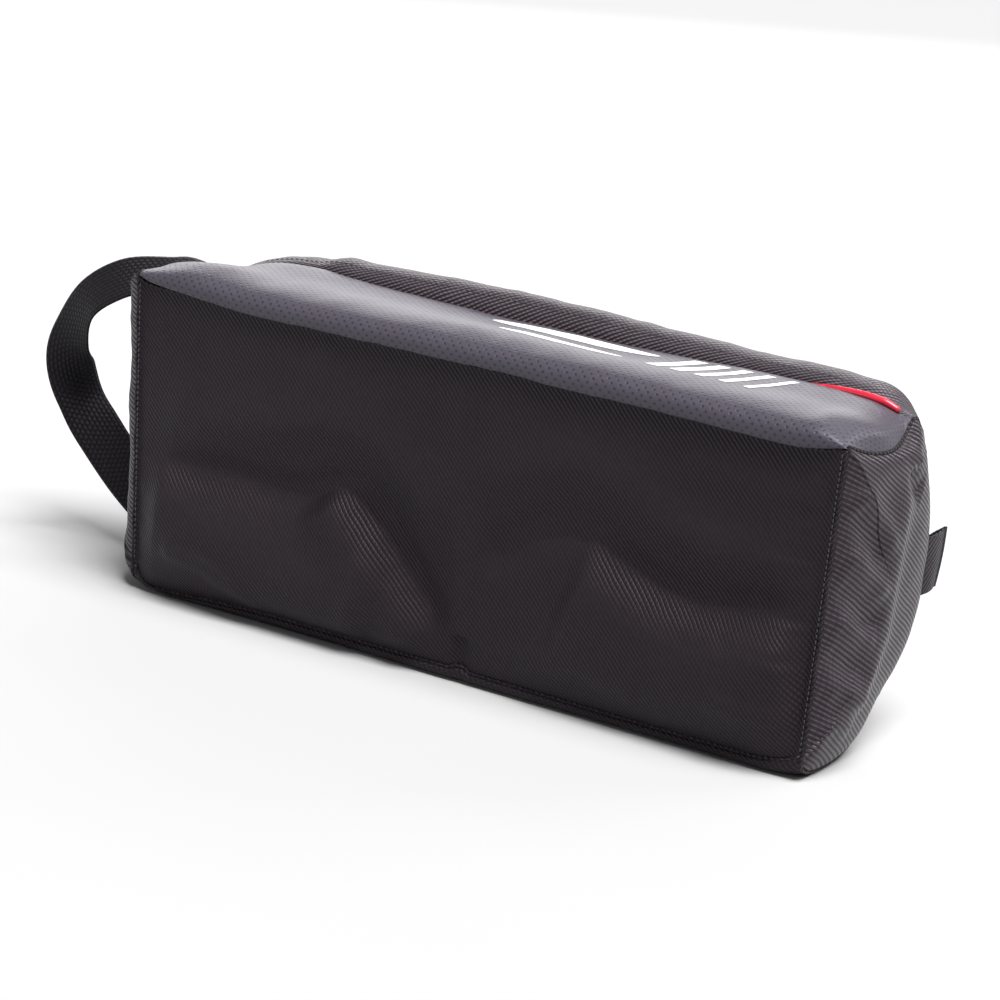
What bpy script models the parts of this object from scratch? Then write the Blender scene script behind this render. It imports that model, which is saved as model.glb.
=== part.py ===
"""Golf shoe bag, lying on its long back wall.

Frame: metres, +Z up. +X runs along the bag, from the handle end to the tab end.
+Y runs from the base (the bag's bottom, a flat rectangle) to the zip. The origin is
the middle of the face that the bag lies on. Depths below are measured from the base's
outer face and turned into Y by depth().
"""

import math

import bpy
import bmesh
import numpy as np
from mathutils import Vector

# ---- driving dimensions (m) -------------------------------------------------
LENGTH = 0.380          # bag length, over the end panels
HEIGHT = 0.158          # width of the base, which stands upright here
WALL = 0.062            # depth of the straight front and back walls
DEPTH = 0.098           # base to zip
CROWN = 0.007           # how far the front wall swells above its front edge
ROUND = 1.5             # superellipse power of the roof's shoulders: 2 is an ellipse, 1 a straight slope
BASE_Y = -0.031         # Y of the base's outer face
FABRIC = 0.0015         # twill with its backing
GAP = 0.0003            # clearance between neighbouring solids
BOARD = 0.0025          # stiffener in the base
BINDING = 0.0012        # seam tape, inside
BINDING_W = 0.008
PIPING_R = 0.0012

ZIP_Z = 0.080           # height of the zip's centre line
ZIP_FLAT = 0.014        # half height of the flat band that carries the zip
MOUTH_X0 = -0.165       # the stretch of roof that opens
MOUTH_X1 = 0.150
FABRIC_EDGE = 0.0055    # roof fabric stops this far from the zip's centre line
TAPE_T = 0.0008
TAPE_IN, TAPE_OUT = 0.0036, 0.0135
COIL_IN, COIL_OUT = 0.0008, 0.0033
COIL_T = 0.0025
SLIDER_LEN = 0.011
SLIDER_HALF = 0.0044
SLIDER_X = -0.1715      # slider parked at the closed end
PLATE_T = 0.0012
PULL_LEN = 0.016
PULL_T = 0.0012
GRIP_FROM, GRIP_TO = 0.010, 0.031

WEBBING_W = 0.025
WEBBING_T = 0.0016
HANDLE_AXIS = (-0.203, 0.027)   # X, Y of the upright line that the loop swings about

TAB_W = 0.027           # along Z
TAB_LEN = 0.0225         # along Y, from its hinge to its fold
TAB_T = 0.0036
TAB_DEPTH = 0.0943

HALF = LENGTH / 2
TOP_Z = HEIGHT + CROWN  # height of the seam between front wall and roof
INNER_X = HALF - FABRIC - GAP


def depth(d):
    return BASE_Y + d


# ---- scene ------------------------------------------------------------------
for old in list(bpy.data.objects):
    bpy.data.objects.remove(old, do_unlink=True)

bag = bpy.data.collections.new("golf_shoe_bag")
cutters = bpy.data.collections.new("cutters")
bpy.context.scene.collection.children.link(bag)
bpy.context.scene.collection.children.link(cutters)


def material(name, colour, roughness, metallic=0.0):
    m = bpy.data.materials.new(name)
    m.use_nodes = True
    b = m.node_tree.nodes["Principled BSDF"]
    b.inputs["Base Color"].default_value = (*colour, 1)
    b.inputs["Roughness"].default_value = roughness
    b.inputs["Metallic"].default_value = metallic
    return m


TWILL = material("black_twill", (0.018, 0.015, 0.018), 0.55)
LEATHER = material("grey_perforated", (0.075, 0.07, 0.08), 0.45)
RED = material("red_piping", (0.55, 0.01, 0.02), 0.35)
WEBBING = material("black_webbing", (0.012, 0.012, 0.013), 0.7)
BOARD_MAT = material("base_board", (0.03, 0.03, 0.03), 0.6)
BIND_MAT = material("binding_tape", (0.02, 0.02, 0.02), 0.8)
TAPE_MAT = material("zip_tape", (0.014, 0.014, 0.015), 0.85)
COIL_MAT = material("zip_coil", (0.02, 0.02, 0.022), 0.35)
METAL = material("dark_metal", (0.12, 0.12, 0.125), 0.3, 1.0)
GRIP_MAT = material("pull_grip", (0.02, 0.02, 0.02), 0.6)


def put(obj, name, mat, where=None):
    """Name an object, give it its material and place it in the bag's collection."""
    obj.name = name
    obj.data.name = name
    obj.data.materials.clear()
    obj.data.materials.append(mat)
    for c in list(obj.users_collection):
        c.objects.unlink(obj)
    (where or bag).objects.link(obj)
    return obj


def flat_curve(name, outlines, thickness, mat):
    """A flat outline with thickness: a filled 2D curve with an extrude."""
    cu = bpy.data.curves.new(name, "CURVE")
    cu.dimensions = "2D"
    cu.fill_mode = "BOTH"
    cu.extrude = thickness / 2
    for pts in outlines:
        sp = cu.splines.new("POLY")
        sp.points.add(len(pts) - 1)
        for p, (a, b) in zip(sp.points, pts):
            p.co = (a, b, 0, 1)
        sp.use_cyclic_u = True
    return put(bpy.data.objects.new(name, cu), name, mat)


def prism_x(name, outlines, x0, x1, mat):
    """Outline points are (Y, Z)."""
    o = flat_curve(name, outlines, x1 - x0, mat)
    o.rotation_euler = (math.pi / 2, 0, math.pi / 2)
    o.location = ((x0 + x1) / 2, 0, 0)
    return o


def prism_y(name, outlines, y0, y1, mat):
    """Outline points are (X, Z)."""
    o = flat_curve(name, outlines, y1 - y0, mat)
    o.rotation_euler = (math.pi / 2, 0, 0)
    o.location = (0, (y0 + y1) / 2, 0)
    return o


def prism_z(name, outlines, z0, z1, mat):
    """Outline points are (X, Y)."""
    o = flat_curve(name, outlines, z1 - z0, mat)
    o.location = (0, 0, (z0 + z1) / 2)
    return o


def as_mesh(obj):
    """Turn a curve object into a welded mesh object of the same name and place."""
    name, mat = obj.name, obj.data.materials[0]
    bpy.context.view_layer.update()
    deps = bpy.context.evaluated_depsgraph_get()
    me = bpy.data.meshes.new_from_object(obj.evaluated_get(deps))
    bm = bmesh.new()
    bm.from_mesh(me)
    bmesh.ops.remove_doubles(bm, verts=bm.verts, dist=1e-6)
    bmesh.ops.recalc_face_normals(bm, faces=bm.faces)
    bm.to_mesh(me)
    bm.free()
    world = obj.matrix_world.copy()
    bpy.data.objects.remove(obj, do_unlink=True)
    new = bpy.data.objects.new(name, me)
    new.matrix_world = world
    return put(new, name, mat)


def block(name, lo, hi, mat, bevel=0.0, where=None):
    bpy.ops.mesh.primitive_cube_add(size=1)
    o = bpy.context.active_object
    for v in o.data.vertices:
        for k in range(3):
            v.co[k] *= hi[k] - lo[k]
    o.location = [(a + b) / 2 for a, b in zip(lo, hi)]
    if bevel:
        m = o.modifiers.new("edges", "BEVEL")
        m.width = bevel
        m.segments = 2
    return put(o, name, mat, where)


def boolean(obj, other, operation):
    m = obj.modifiers.new(operation.lower(), "BOOLEAN")
    m.operation = operation
    m.solver = "EXACT"
    m.object = other
    other.hide_render = True
    other.display_type = "WIRE"
    for c in list(other.users_collection):
        c.objects.unlink(other)
    cutters.objects.link(other)


def offset(points, distance):
    """Shift an open polyline sideways, to its right for a positive distance."""
    p = np.array(points, float)
    d = np.diff(p, axis=0)
    d /= np.linalg.norm(d, axis=1)[:, None]
    n = np.stack([d[:, 1], -d[:, 0]], 1)
    out = []
    for i in range(len(p)):
        a = n[max(i - 1, 0)]
        b = n[min(i, len(n) - 1)]
        m = (a + b) / np.linalg.norm(a + b)
        out.append(p[i] + m * distance / max(float(m @ a), 0.4))
    return [tuple(q) for q in out]


def skin(points, thickness=FABRIC):
    """Closed outline of a sheet whose outer face runs along the points, solid on their right."""
    return list(points) + list(reversed(offset(points, thickness)))


# ---- the cross-section ------------------------------------------------------
def front_wall_line(d0, d1, n=6):
    """The swollen front wall: a quarter sine from the front edge up to the roof seam."""
    return [
        (depth(d0 + (d1 - d0) * i / n), HEIGHT + CROWN * math.sin(math.pi / 2 * (d0 + (d1 - d0) * i / n) / WALL))
        for i in range(n + 1)
    ]


def shoulder_line(upper, first, n=9):
    """Quarter superellipse from a wall's end round to the flat band at the zip, then along
    the band to the edge of the fabric. first is the depth where it starts, past the wall."""
    a = DEPTH - WALL
    z_end = ZIP_Z + (ZIP_FLAT if upper else -ZIP_FLAT)
    b = (TOP_Z if upper else 0.0) - z_end
    t0 = math.asin((first / a) ** (ROUND / 2))
    pts = [
        (depth(WALL + a * math.sin(t) ** (2 / ROUND)), z_end + b * max(math.cos(t), 0.0) ** (2 / ROUND))
        for t in (t0 + (math.pi / 2 - t0) * i / n for i in range(n + 1))
    ]
    pts.append((depth(DEPTH), ZIP_Z + (FABRIC_EDGE if upper else -FABRIC_EDGE)))
    return pts


upper_arc = shoulder_line(True, 0.0022)
lower_arc = shoulder_line(False, 0.0016)
full_arc = [(depth(WALL), TOP_Z)] + upper_arc[:-1] + list(reversed(lower_arc[:-1])) + [(depth(WALL), 0.0)]

# ---- walls ------------------------------------------------------------------
base_panel = block("base_panel", (-HALF, depth(0), 0), (HALF, depth(FABRIC), HEIGHT), TWILL)
block(
    "base_board",
    (-HALF + 0.012, depth(FABRIC + GAP), 0.004),
    (HALF - 0.012, depth(FABRIC + GAP + BOARD), HEIGHT - 0.005),
    BOARD_MAT,
)
D0 = FABRIC + GAP
prism_x("front_wall", [skin(front_wall_line(D0, WALL - PIPING_R - 0.0005))], -INNER_X, INNER_X, LEATHER)
prism_x(
    "back_wall",
    [[(depth(D0), 0), (depth(WALL), 0), (depth(WALL), FABRIC), (depth(D0), FABRIC)]],
    -INNER_X,
    INNER_X,
    TWILL,
)
end_outline = front_wall_line(D0, WALL) + full_arc[1:] + [(depth(D0), 0)]
prism_x("end_panel_left", [end_outline], -HALF, -HALF + FABRIC, TWILL)
prism_x("end_panel_right", [end_outline], HALF - FABRIC, HALF, TWILL)

piping = bpy.data.curves.new("piping_front", "CURVE")
piping.dimensions = "3D"
piping.bevel_depth = PIPING_R
piping.bevel_resolution = 2
piping.use_fill_caps = True
line = piping.splines.new("POLY")
line.points.add(1)
PIPING_Z = TOP_Z - 0.0003
for p, x in zip(line.points, (-INNER_X, INNER_X)):
    p.co = (x, depth(WALL), PIPING_Z, 1)
put(bpy.data.objects.new("piping_front", piping), "piping_front", RED)

# ---- roof: two halves that open, and the fixed stretches past the zip's ends --
for half, arc, side in (("front", upper_arc, 1), ("back", lower_arc, -1)):
    outline = skin(arc, FABRIC * side)
    prism_x(f"roof_end_left_{half}", [outline], -INNER_X, MOUTH_X0 - GAP, TWILL)
    prism_x(f"roof_end_right_{half}", [outline], MOUTH_X1 + GAP, INNER_X, TWILL)
    flap = prism_x(f"roof_flap_{half}", [outline], MOUTH_X0, MOUTH_X1, TWILL)
    zs = sorted((ZIP_Z + side * TAPE_IN, ZIP_Z + side * TAPE_OUT))
    y_tape = depth(DEPTH - FABRIC - GAP)
    tape = block(
        f"zip_tape_{half}", (MOUTH_X0, y_tape - TAPE_T, zs[0]), (MOUTH_X1, y_tape, zs[1]), TAPE_MAT
    )
    zs = sorted((ZIP_Z + side * COIL_IN, ZIP_Z + side * COIL_OUT))
    coil = block(
        f"zip_coil_{half}",
        (MOUTH_X0, depth(DEPTH - 0.0035), zs[0]),
        (MOUTH_X1, depth(DEPTH - 0.0035 + COIL_T), zs[1]),
        COIL_MAT,
        bevel=0.0006,
    )

# ---- zip: fixed tape ends with a pocket for the slider, and the stops ---------
POCKET = 0.0050
y_tape = depth(DEPTH - FABRIC - GAP)
LEFT_POCKET = SLIDER_X - SLIDER_LEN / 2 - 0.0015
left_tape = [
    (-INNER_X + 0.0005, ZIP_Z - TAPE_OUT),
    (MOUTH_X0 - GAP, ZIP_Z - TAPE_OUT),
    (MOUTH_X0 - GAP, ZIP_Z - POCKET),
    (LEFT_POCKET, ZIP_Z - POCKET),
    (LEFT_POCKET, ZIP_Z + POCKET),
    (MOUTH_X0 - GAP, ZIP_Z + POCKET),
    (MOUTH_X0 - GAP, ZIP_Z + TAPE_OUT),
    (-INNER_X + 0.0005, ZIP_Z + TAPE_OUT),
]
prism_y("zip_tape_end_left", [left_tape], y_tape - TAPE_T, y_tape, TAPE_MAT)
SLIDER_X1 = MOUTH_X1 + SLIDER_LEN / 2 + 0.0013
RIGHT_POCKET = SLIDER_X1 + SLIDER_LEN / 2 + 0.0015
right_tape = [
    (INNER_X - 0.0005, ZIP_Z - TAPE_OUT),
    (INNER_X - 0.0005, ZIP_Z + TAPE_OUT),
    (MOUTH_X1 + GAP, ZIP_Z + TAPE_OUT),
    (MOUTH_X1 + GAP, ZIP_Z + POCKET),
    (RIGHT_POCKET, ZIP_Z + POCKET),
    (RIGHT_POCKET, ZIP_Z - POCKET),
    (MOUTH_X1 + GAP, ZIP_Z - POCKET),
    (MOUTH_X1 + GAP, ZIP_Z - TAPE_OUT),
]
prism_y("zip_tape_end_right", [right_tape], y_tape - TAPE_T, y_tape, TAPE_MAT)
for side, x in (("left", LEFT_POCKET - 0.0016), ("right", RIGHT_POCKET + 0.0016)):
    block(
        f"zip_stop_{side}",
        (x - 0.0011, y_tape + GAP, ZIP_Z - 0.0034),
        (x + 0.0011, y_tape + GAP + 0.0012, ZIP_Z + 0.0034),
        METAL,
        bevel=0.0003,
    )

# ---- zip slider: two plates with lips round the coils, a web and a bridge -----
PLATE_Y = DEPTH - 0.0004        # inner face of the outer plate
INNER_PLATE_Y = DEPTH - 0.0041  # inner face of the inner plate
LIP = 0.0007
H = [
    (INNER_PLATE_Y - PLATE_T, -SLIDER_HALF),
    (DEPTH - 0.0030, -SLIDER_HALF),
    (DEPTH - 0.0030, -SLIDER_HALF + LIP),
    (INNER_PLATE_Y, -SLIDER_HALF + LIP),
    (INNER_PLATE_Y, -0.0005),
    (PLATE_Y, -0.0005),
    (PLATE_Y, -SLIDER_HALF + LIP),
    (DEPTH - 0.0014, -SLIDER_HALF + LIP),
    (DEPTH - 0.0014, -SLIDER_HALF),
    (PLATE_Y + PLATE_T, -SLIDER_HALF),
]
H = [(depth(d), ZIP_Z + z) for d, z in H] + [(depth(d), ZIP_Z - z) for d, z in reversed(H)]
slider = as_mesh(prism_x("zip_slider", [H], SLIDER_X - SLIDER_LEN / 2, SLIDER_X + SLIDER_LEN / 2, METAL))
PLATE_TOP = PLATE_Y + PLATE_T
PULL_Y = PLATE_TOP + 0.0013     # depth of the pull's hinge


def arch(half_length, height, n=10):
    return [
        (SLIDER_X + half_length * math.cos(math.pi * i / n), depth(PLATE_TOP) + height * math.sin(math.pi * i / n))
        for i in range(n + 1)
    ]


FOOT = 0.0006
outer_arch, inner_arch = arch(0.0037, 0.0040), arch(0.0026, 0.0029)
bridge_outline = (
    [(outer_arch[0][0], depth(PLATE_TOP) - FOOT)]
    + outer_arch
    + [(outer_arch[-1][0], depth(PLATE_TOP) - FOOT), (inner_arch[-1][0], depth(PLATE_TOP) - FOOT)]
    + list(reversed(inner_arch))
    + [(inner_arch[0][0], depth(PLATE_TOP) - FOOT)]
)
bridge = as_mesh(prism_z("slider_bridge", [bridge_outline], ZIP_Z - 0.0008, ZIP_Z + 0.0008, METAL))
boolean(slider, bridge, "UNION")

# ---- zip pull: a flat metal eye that turns in the bridge, and its moulded grip -
EYE_W, TIP_W = 0.0032, 0.0021


def pull_x(u):
    return SLIDER_X - u


pull_outer = [
    (pull_x(-0.0007), ZIP_Z - EYE_W + 0.0006),
    (pull_x(-0.0007), ZIP_Z + EYE_W - 0.0006),
    (pull_x(0.0), ZIP_Z + EYE_W),
    (pull_x(0.0070), ZIP_Z + EYE_W),
    (pull_x(0.0095), ZIP_Z + TIP_W),
    (pull_x(PULL_LEN), ZIP_Z + TIP_W),
    (pull_x(PULL_LEN), ZIP_Z - TIP_W),
    (pull_x(0.0095), ZIP_Z - TIP_W),
    (pull_x(0.0070), ZIP_Z - EYE_W),
    (pull_x(0.0), ZIP_Z - EYE_W),
]
window = [
    (pull_x(0.0006), ZIP_Z - 0.0016),
    (pull_x(0.0060), ZIP_Z - 0.0016),
    (pull_x(0.0060), ZIP_Z + 0.0016),
    (pull_x(0.0006), ZIP_Z + 0.0016),
]
prism_y("zip_pull", [pull_outer, window], depth(PULL_Y) - PULL_T / 2, depth(PULL_Y) + PULL_T / 2, METAL)
grip = block(
    "pull_grip",
    (pull_x(GRIP_TO), depth(PULL_Y) - 0.0015, ZIP_Z - 0.0038),
    (pull_x(GRIP_FROM), depth(PULL_Y) + 0.0017, ZIP_Z + 0.0038),
    GRIP_MAT,
    bevel=0.0008,
)
socket = block(
    "grip_socket",
    (pull_x(PULL_LEN + GAP), depth(PULL_Y) - PULL_T / 2 - GAP, ZIP_Z - TIP_W - GAP),
    (pull_x(GRIP_FROM - 0.002), depth(PULL_Y) + PULL_T / 2 + GAP, ZIP_Z + TIP_W + GAP),
    GRIP_MAT,
)
boolean(grip, socket, "DIFFERENCE")

# ---- seam bindings inside ----------------------------------------------------
inside = front_wall_line(D0 + BINDING, WALL) + full_arc[1:] + [(depth(D0 + BINDING), 0)]
ring_out = offset(inside, FABRIC + GAP)
ring_out[0] = (depth(D0 + GAP), ring_out[0][1])
ring_out[-1] = (depth(D0 + GAP), FABRIC + GAP)
ring_in = offset(inside, FABRIC + GAP + BINDING)
ring_in[0] = (depth(D0 + GAP + BINDING), ring_in[0][1])
ring_in[-1] = (depth(D0 + GAP + BINDING), FABRIC + GAP + BINDING)
flat = depth(DEPTH - FABRIC - TAPE_T - 3 * GAP)     # the binding passes under the zip tape
ring_out = [(min(y, flat), z) for y, z in ring_out]
ring_in = [(min(y, flat - BINDING), z) for y, z in ring_in]
prism_x("seam_binding_left", [ring_out, ring_in], -INNER_X + 0.0002, -INNER_X + BINDING_W, BIND_MAT)
prism_x("seam_binding_right", [ring_out, ring_in], INNER_X - BINDING_W, INNER_X - 0.0002, BIND_MAT)
BOARD_BACK = FABRIC + 2 * GAP + BOARD
for side, z0 in (("front", HEIGHT - FABRIC - GAP - BINDING), ("back", FABRIC + GAP)):
    block(
        f"seam_binding_base_{side}",
        (-HALF + 0.012, depth(BOARD_BACK), z0),
        (HALF - 0.012, depth(BOARD_BACK + BINDING_W), z0 + BINDING),
        BIND_MAT,
    )

# ---- handle: one webbing loop, its two sewn ends fixed ------------------------
AX, AY = HANDLE_AXIS
route = [  # centre of the webbing and the direction of its width
    ((AX + 0.0120, AY, 0.1500), (0, 1, 0)),
    ((AX, AY, 0.1500), (0, 1, 0)),
    ((AX - 0.019, AY - 0.008, 0.1460), (-0.2, 0.93, 0.25)),
    ((AX - 0.036, AY - 0.015, 0.1380), (-0.50, 0.65, 0.55)),
    ((AX - 0.053, AY - 0.018, 0.1240), (-0.70, 0.42, 0.55)),
    ((AX - 0.064, AY - 0.014, 0.1060), (-0.92, 0.05, 0.38)),
    ((AX - 0.069, AY - 0.007, 0.0870), (-0.84, -0.52, -0.08)),
    ((AX - 0.065, AY - 0.001, 0.0680), (-0.58, -0.74, -0.34)),
    ((AX - 0.050, AY - 0.002, 0.0510), (-0.55, -0.55, -0.62)),
    ((AX - 0.031, AY - 0.004, 0.0370), (-0.50, -0.42, -0.74)),
    ((AX - 0.014, AY - 0.002, 0.0275), (-0.25, -0.20, -0.92)),
    ((AX - 0.001, AY, 0.0240), (0, 0, -1)),
]


def spline(points, t):
    """Catmull-Rom through the points."""
    i = min(int(t), len(points) - 2)
    u = t - i
    q = [Vector(points[min(max(i + k, 0), len(points) - 1)]) for k in (-1, 0, 1, 2)]
    return 0.5 * (
        2 * q[1] + (q[2] - q[0]) * u + (2 * q[0] - 5 * q[1] + 4 * q[2] - q[3]) * u**2
        + (3 * q[1] - q[0] - 3 * q[2] + q[3]) * u**3
    )


def ribbon(name, centres, widths, steps, round_first, mat):
    """A strap lofted along a spline. Its width direction turns on the way, so it is a sheet
    built row by row and thickened."""
    bm = bmesh.new()
    rows = []
    last = len(centres) - 1
    for k in range(steps + 1):
        t = last * k / steps
        c, w = spline(centres, t), spline(widths, t).normalized()
        half = WEBBING_W / 2
        run = (c - Vector(centres[0])).length
        if round_first and run < half:
            half = math.sqrt(max(half**2 - (half - run) ** 2, 0.003**2))
        rows.append([bm.verts.new(c + w * half * s) for s in (-1, -0.5, 0, 0.5, 1)])
    for a, b in zip(rows, rows[1:]):
        for j in range(4):
            bm.faces.new((a[j], a[j + 1], b[j + 1], b[j]))
    me = bpy.data.meshes.new(name)
    bm.to_mesh(me)
    bm.free()
    o = put(bpy.data.objects.new(name, me), name, mat)
    m = o.modifiers.new("webbing", "SOLIDIFY")
    m.thickness = WEBBING_T
    m.offset = 0
    m.use_even_offset = True
    return o


handle = ribbon("handle_webbing", [r[0] for r in route], [r[1] for r in route], 44, True, WEBBING)
block(
    "handle_end_top",
    (AX - 0.004, AY - WEBBING_W / 2, 0.1500 + WEBBING_T / 2 + 0.0005),
    (-HALF - GAP, AY + WEBBING_W / 2, 0.1500 + 1.5 * WEBBING_T + 0.0005),
    WEBBING,
    bevel=0.0004,
)
block(
    "handle_end_bottom",
    (AX + 0.0022, AY - WEBBING_T / 2, 0.0240 - WEBBING_W / 2),
    (-HALF - GAP, AY + WEBBING_T / 2, 0.0240 + WEBBING_W / 2),
    WEBBING,
    bevel=0.0004,
)

# ---- tab at the zip's right-hand end: a flattened loop of doubled twill -------
TAB_AXIS = (HALF + GAP + TAB_T / 2 + 0.0004, depth(TAB_DEPTH))


def stadium(y0, y1, r, n=8):
    x = TAB_AXIS[0]
    far = [(x + r * math.cos(a), y1 + r * math.sin(a)) for a in (math.pi * i / n for i in range(n + 1))]
    near = [(x - r * math.cos(a), y0 - r * math.sin(a)) for a in (math.pi * i / n for i in range(n + 1))]
    return far + near


TIP_Y = TAB_AXIS[1] + TAB_LEN - TAB_T / 2
prism_z(
    "zip_end_tab",
    [stadium(TAB_AXIS[1], TIP_Y, TAB_T / 2), stadium(TAB_AXIS[1] + 0.003, TIP_Y - 0.0003, 0.0005)],
    ZIP_Z - TAB_W / 2,
    ZIP_Z + TAB_W / 2,
    TWILL,
)


# ---- joints: each moving group hangs from an empty on its axis ----------------
def joint(name, location, members):
    e = bpy.data.objects.new(name, None)
    e.location = location
    e.empty_display_size = 0.02
    bag.objects.link(e)
    bpy.context.view_layer.update()
    for m in members:
        o = bpy.data.objects[m]
        o.parent = e
        o.matrix_parent_inverse = e.matrix_world.inverted()
    return e


joint("front_flap_axis", (0, depth(WALL), PIPING_Z), ["roof_flap_front", "zip_tape_front", "zip_coil_front"])
joint("back_flap_axis", (0, depth(WALL), 0.0), ["roof_flap_back", "zip_tape_back", "zip_coil_back"])
slide = joint("slider_axis", (SLIDER_X, depth(DEPTH), ZIP_Z), ["zip_slider"])
pull_axis = joint("pull_axis", (SLIDER_X, depth(PULL_Y), ZIP_Z), ["zip_pull", "pull_grip"])
pull_axis.parent = slide
pull_axis.matrix_parent_inverse = slide.matrix_world.inverted()
joint("handle_axis", (AX, AY, 0.085), ["handle_webbing"])
joint("tab_axis", (*TAB_AXIS, ZIP_Z), ["zip_end_tab"])
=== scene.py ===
"""Looks of the shoe bag: soft panels, webbing handle, zip, piping and their materials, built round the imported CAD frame.

Metres, +Z up. The bag lies on its back wall: +X runs along it towards the small tab, -Y is its base panel, +Y its zip side.
"""

import math

import bpy
import numpy as np
from mathutils import Matrix, Vector, noise


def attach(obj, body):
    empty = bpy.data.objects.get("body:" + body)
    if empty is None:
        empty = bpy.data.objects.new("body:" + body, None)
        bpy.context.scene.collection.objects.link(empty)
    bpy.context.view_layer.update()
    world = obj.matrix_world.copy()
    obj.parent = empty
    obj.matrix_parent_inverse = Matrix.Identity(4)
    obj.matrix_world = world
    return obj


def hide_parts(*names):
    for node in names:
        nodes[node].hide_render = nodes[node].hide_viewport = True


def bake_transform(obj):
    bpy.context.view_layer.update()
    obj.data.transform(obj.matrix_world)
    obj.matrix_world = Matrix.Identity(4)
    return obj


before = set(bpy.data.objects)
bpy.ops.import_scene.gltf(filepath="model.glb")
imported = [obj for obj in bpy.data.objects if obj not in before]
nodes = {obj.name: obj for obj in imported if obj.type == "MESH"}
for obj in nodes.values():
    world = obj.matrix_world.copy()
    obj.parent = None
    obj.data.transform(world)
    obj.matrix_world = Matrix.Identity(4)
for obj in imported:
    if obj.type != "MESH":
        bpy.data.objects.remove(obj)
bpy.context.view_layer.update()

HALF = 0.190  # half the length, at the end seams
BASE_Y = -0.031
ZIP_Z = 0.080
LINING = 0.0011

# ----------------------------------------------------------------- curves and profiles


def smooth_curve(xs, ys):
    """A smooth curve through the points that doesn't overshoot (monotone cubic)."""
    xs, ys = np.array(xs, float), np.array(ys, float)
    h = np.diff(xs)
    d = np.diff(ys) / h
    m = np.zeros(len(xs))
    m[0], m[-1] = d[0], d[-1]
    for i in range(1, len(xs) - 1):
        if d[i - 1] * d[i] > 0:
            w1, w2 = 2 * h[i] + h[i - 1], h[i] + 2 * h[i - 1]
            m[i] = (w1 + w2) / (w1 / d[i - 1] + w2 / d[i])

    def f(x):
        x = np.clip(np.asarray(x, float), xs[0], xs[-1])
        i = np.clip(np.searchsorted(xs, x) - 1, 0, len(h) - 1)
        t = (x - xs[i]) / h[i]
        return (
            ys[i] * (2 * t**3 - 3 * t**2 + 1)
            + h[i] * m[i] * (t**3 - 2 * t**2 + t)
            + ys[i + 1] * (-2 * t**3 + 3 * t**2)
            + h[i] * m[i + 1] * (t**3 - t**2)
        )

    return f


def spline(points, s):
    """Catmull-Rom through points (..., k, dims) at s from 0 to 1, evenly by index."""
    k = points.shape[-2]
    u = np.clip(np.asarray(s, float), 0, 1) * (k - 1)
    i = np.minimum(u.astype(int), k - 2)
    t = (u - i)[:, None]
    p = [
        points[..., np.clip(i + j, 0, k - 1), :]
        for j in (-1, 0, 1, 2)
    ]
    return 0.5 * (
        2 * p[1]
        + (p[2] - p[0]) * t
        + (2 * p[0] - 5 * p[1] + 4 * p[2] - p[3]) * t**2
        + (3 * p[1] - p[0] - 3 * p[2] + p[3]) * t**3
    )


def puff(d, r):
    """1 at a seam, falling to 0 at r away from it, as a stuffed corner does."""
    t = 1 - np.clip(np.asarray(d, float) / r, 0, 1)
    return 1 - np.sqrt(np.maximum(0, 1 - t * t))


bottom_seam_z = smooth_curve(
    [-0.19, -0.1855, -0.181, -0.165, -0.14, -0.10, 0, 0.004, 0.008, 0.012, 0.10, 0.165, 0.182, 0.19],
    [0.0135, 0.0065, 0.0030, 0.0032, 0.0047, 0.0062, 0.0064, 0.0082, 0.0082, 0.0062, 0.0060, 0.0062, 0.0085, 0.0125],
)
top_seam_z = smooth_curve(
    [-0.19, -0.186, -0.178, -0.158, -0.126, -0.08, -0.013, 0.071, 0.125, 0.1625, 0.18, 0.19],
    [0.1580, 0.1553, 0.1545, 0.1540, 0.1520, 0.1522, 0.1530, 0.1530, 0.1524, 0.1520, 0.1535, 0.1560],
)
piping_z = smooth_curve(
    [-0.19, -0.172, -0.160, -0.148, -0.135, -0.124, -0.097, -0.0535, -0.025, 0.0086, 0.031, 0.0844, 0.128, 0.1467, 0.162, 0.177, 0.19],
    [0.1445, 0.1552, 0.1592, 0.1616, 0.1630, 0.1634, 0.1622, 0.1610, 0.1606, 0.1610, 0.1607, 0.1617, 0.1630, 0.1630, 0.1620, 0.1607, 0.1597],
)
peak_z = smooth_curve(
    [-0.19, -0.17, -0.15, -0.135, -0.119, -0.107, -0.064, -0.0016, 0.048, 0.0966, 0.137, 0.156, 0.175, 0.19],
    [0.1500, 0.1593, 0.1625, 0.1644, 0.1684, 0.1683, 0.1700, 0.1708, 0.1692, 0.1682, 0.1680, 0.1673, 0.1650, 0.1600],
)


def stack(*pairs):
    """(n, k, 2) control points from pairs of numbers or arrays over n stations."""
    n = max(np.size(v) for p in pairs for v in p)
    return np.stack(
        [np.stack([np.broadcast_to(v, n) for v in p], -1) for p in pairs], -2
    ).astype(float)


def mixed(x, middle, left, right, reach_left, reach_right):
    wl = puff(x + HALF, reach_left)[:, None, None]
    wr = puff(HALF - x, reach_right)[:, None, None]
    return middle * (1 - wl - wr) + np.array(left)[None] * wl + np.array(right)[None] * wr


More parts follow.
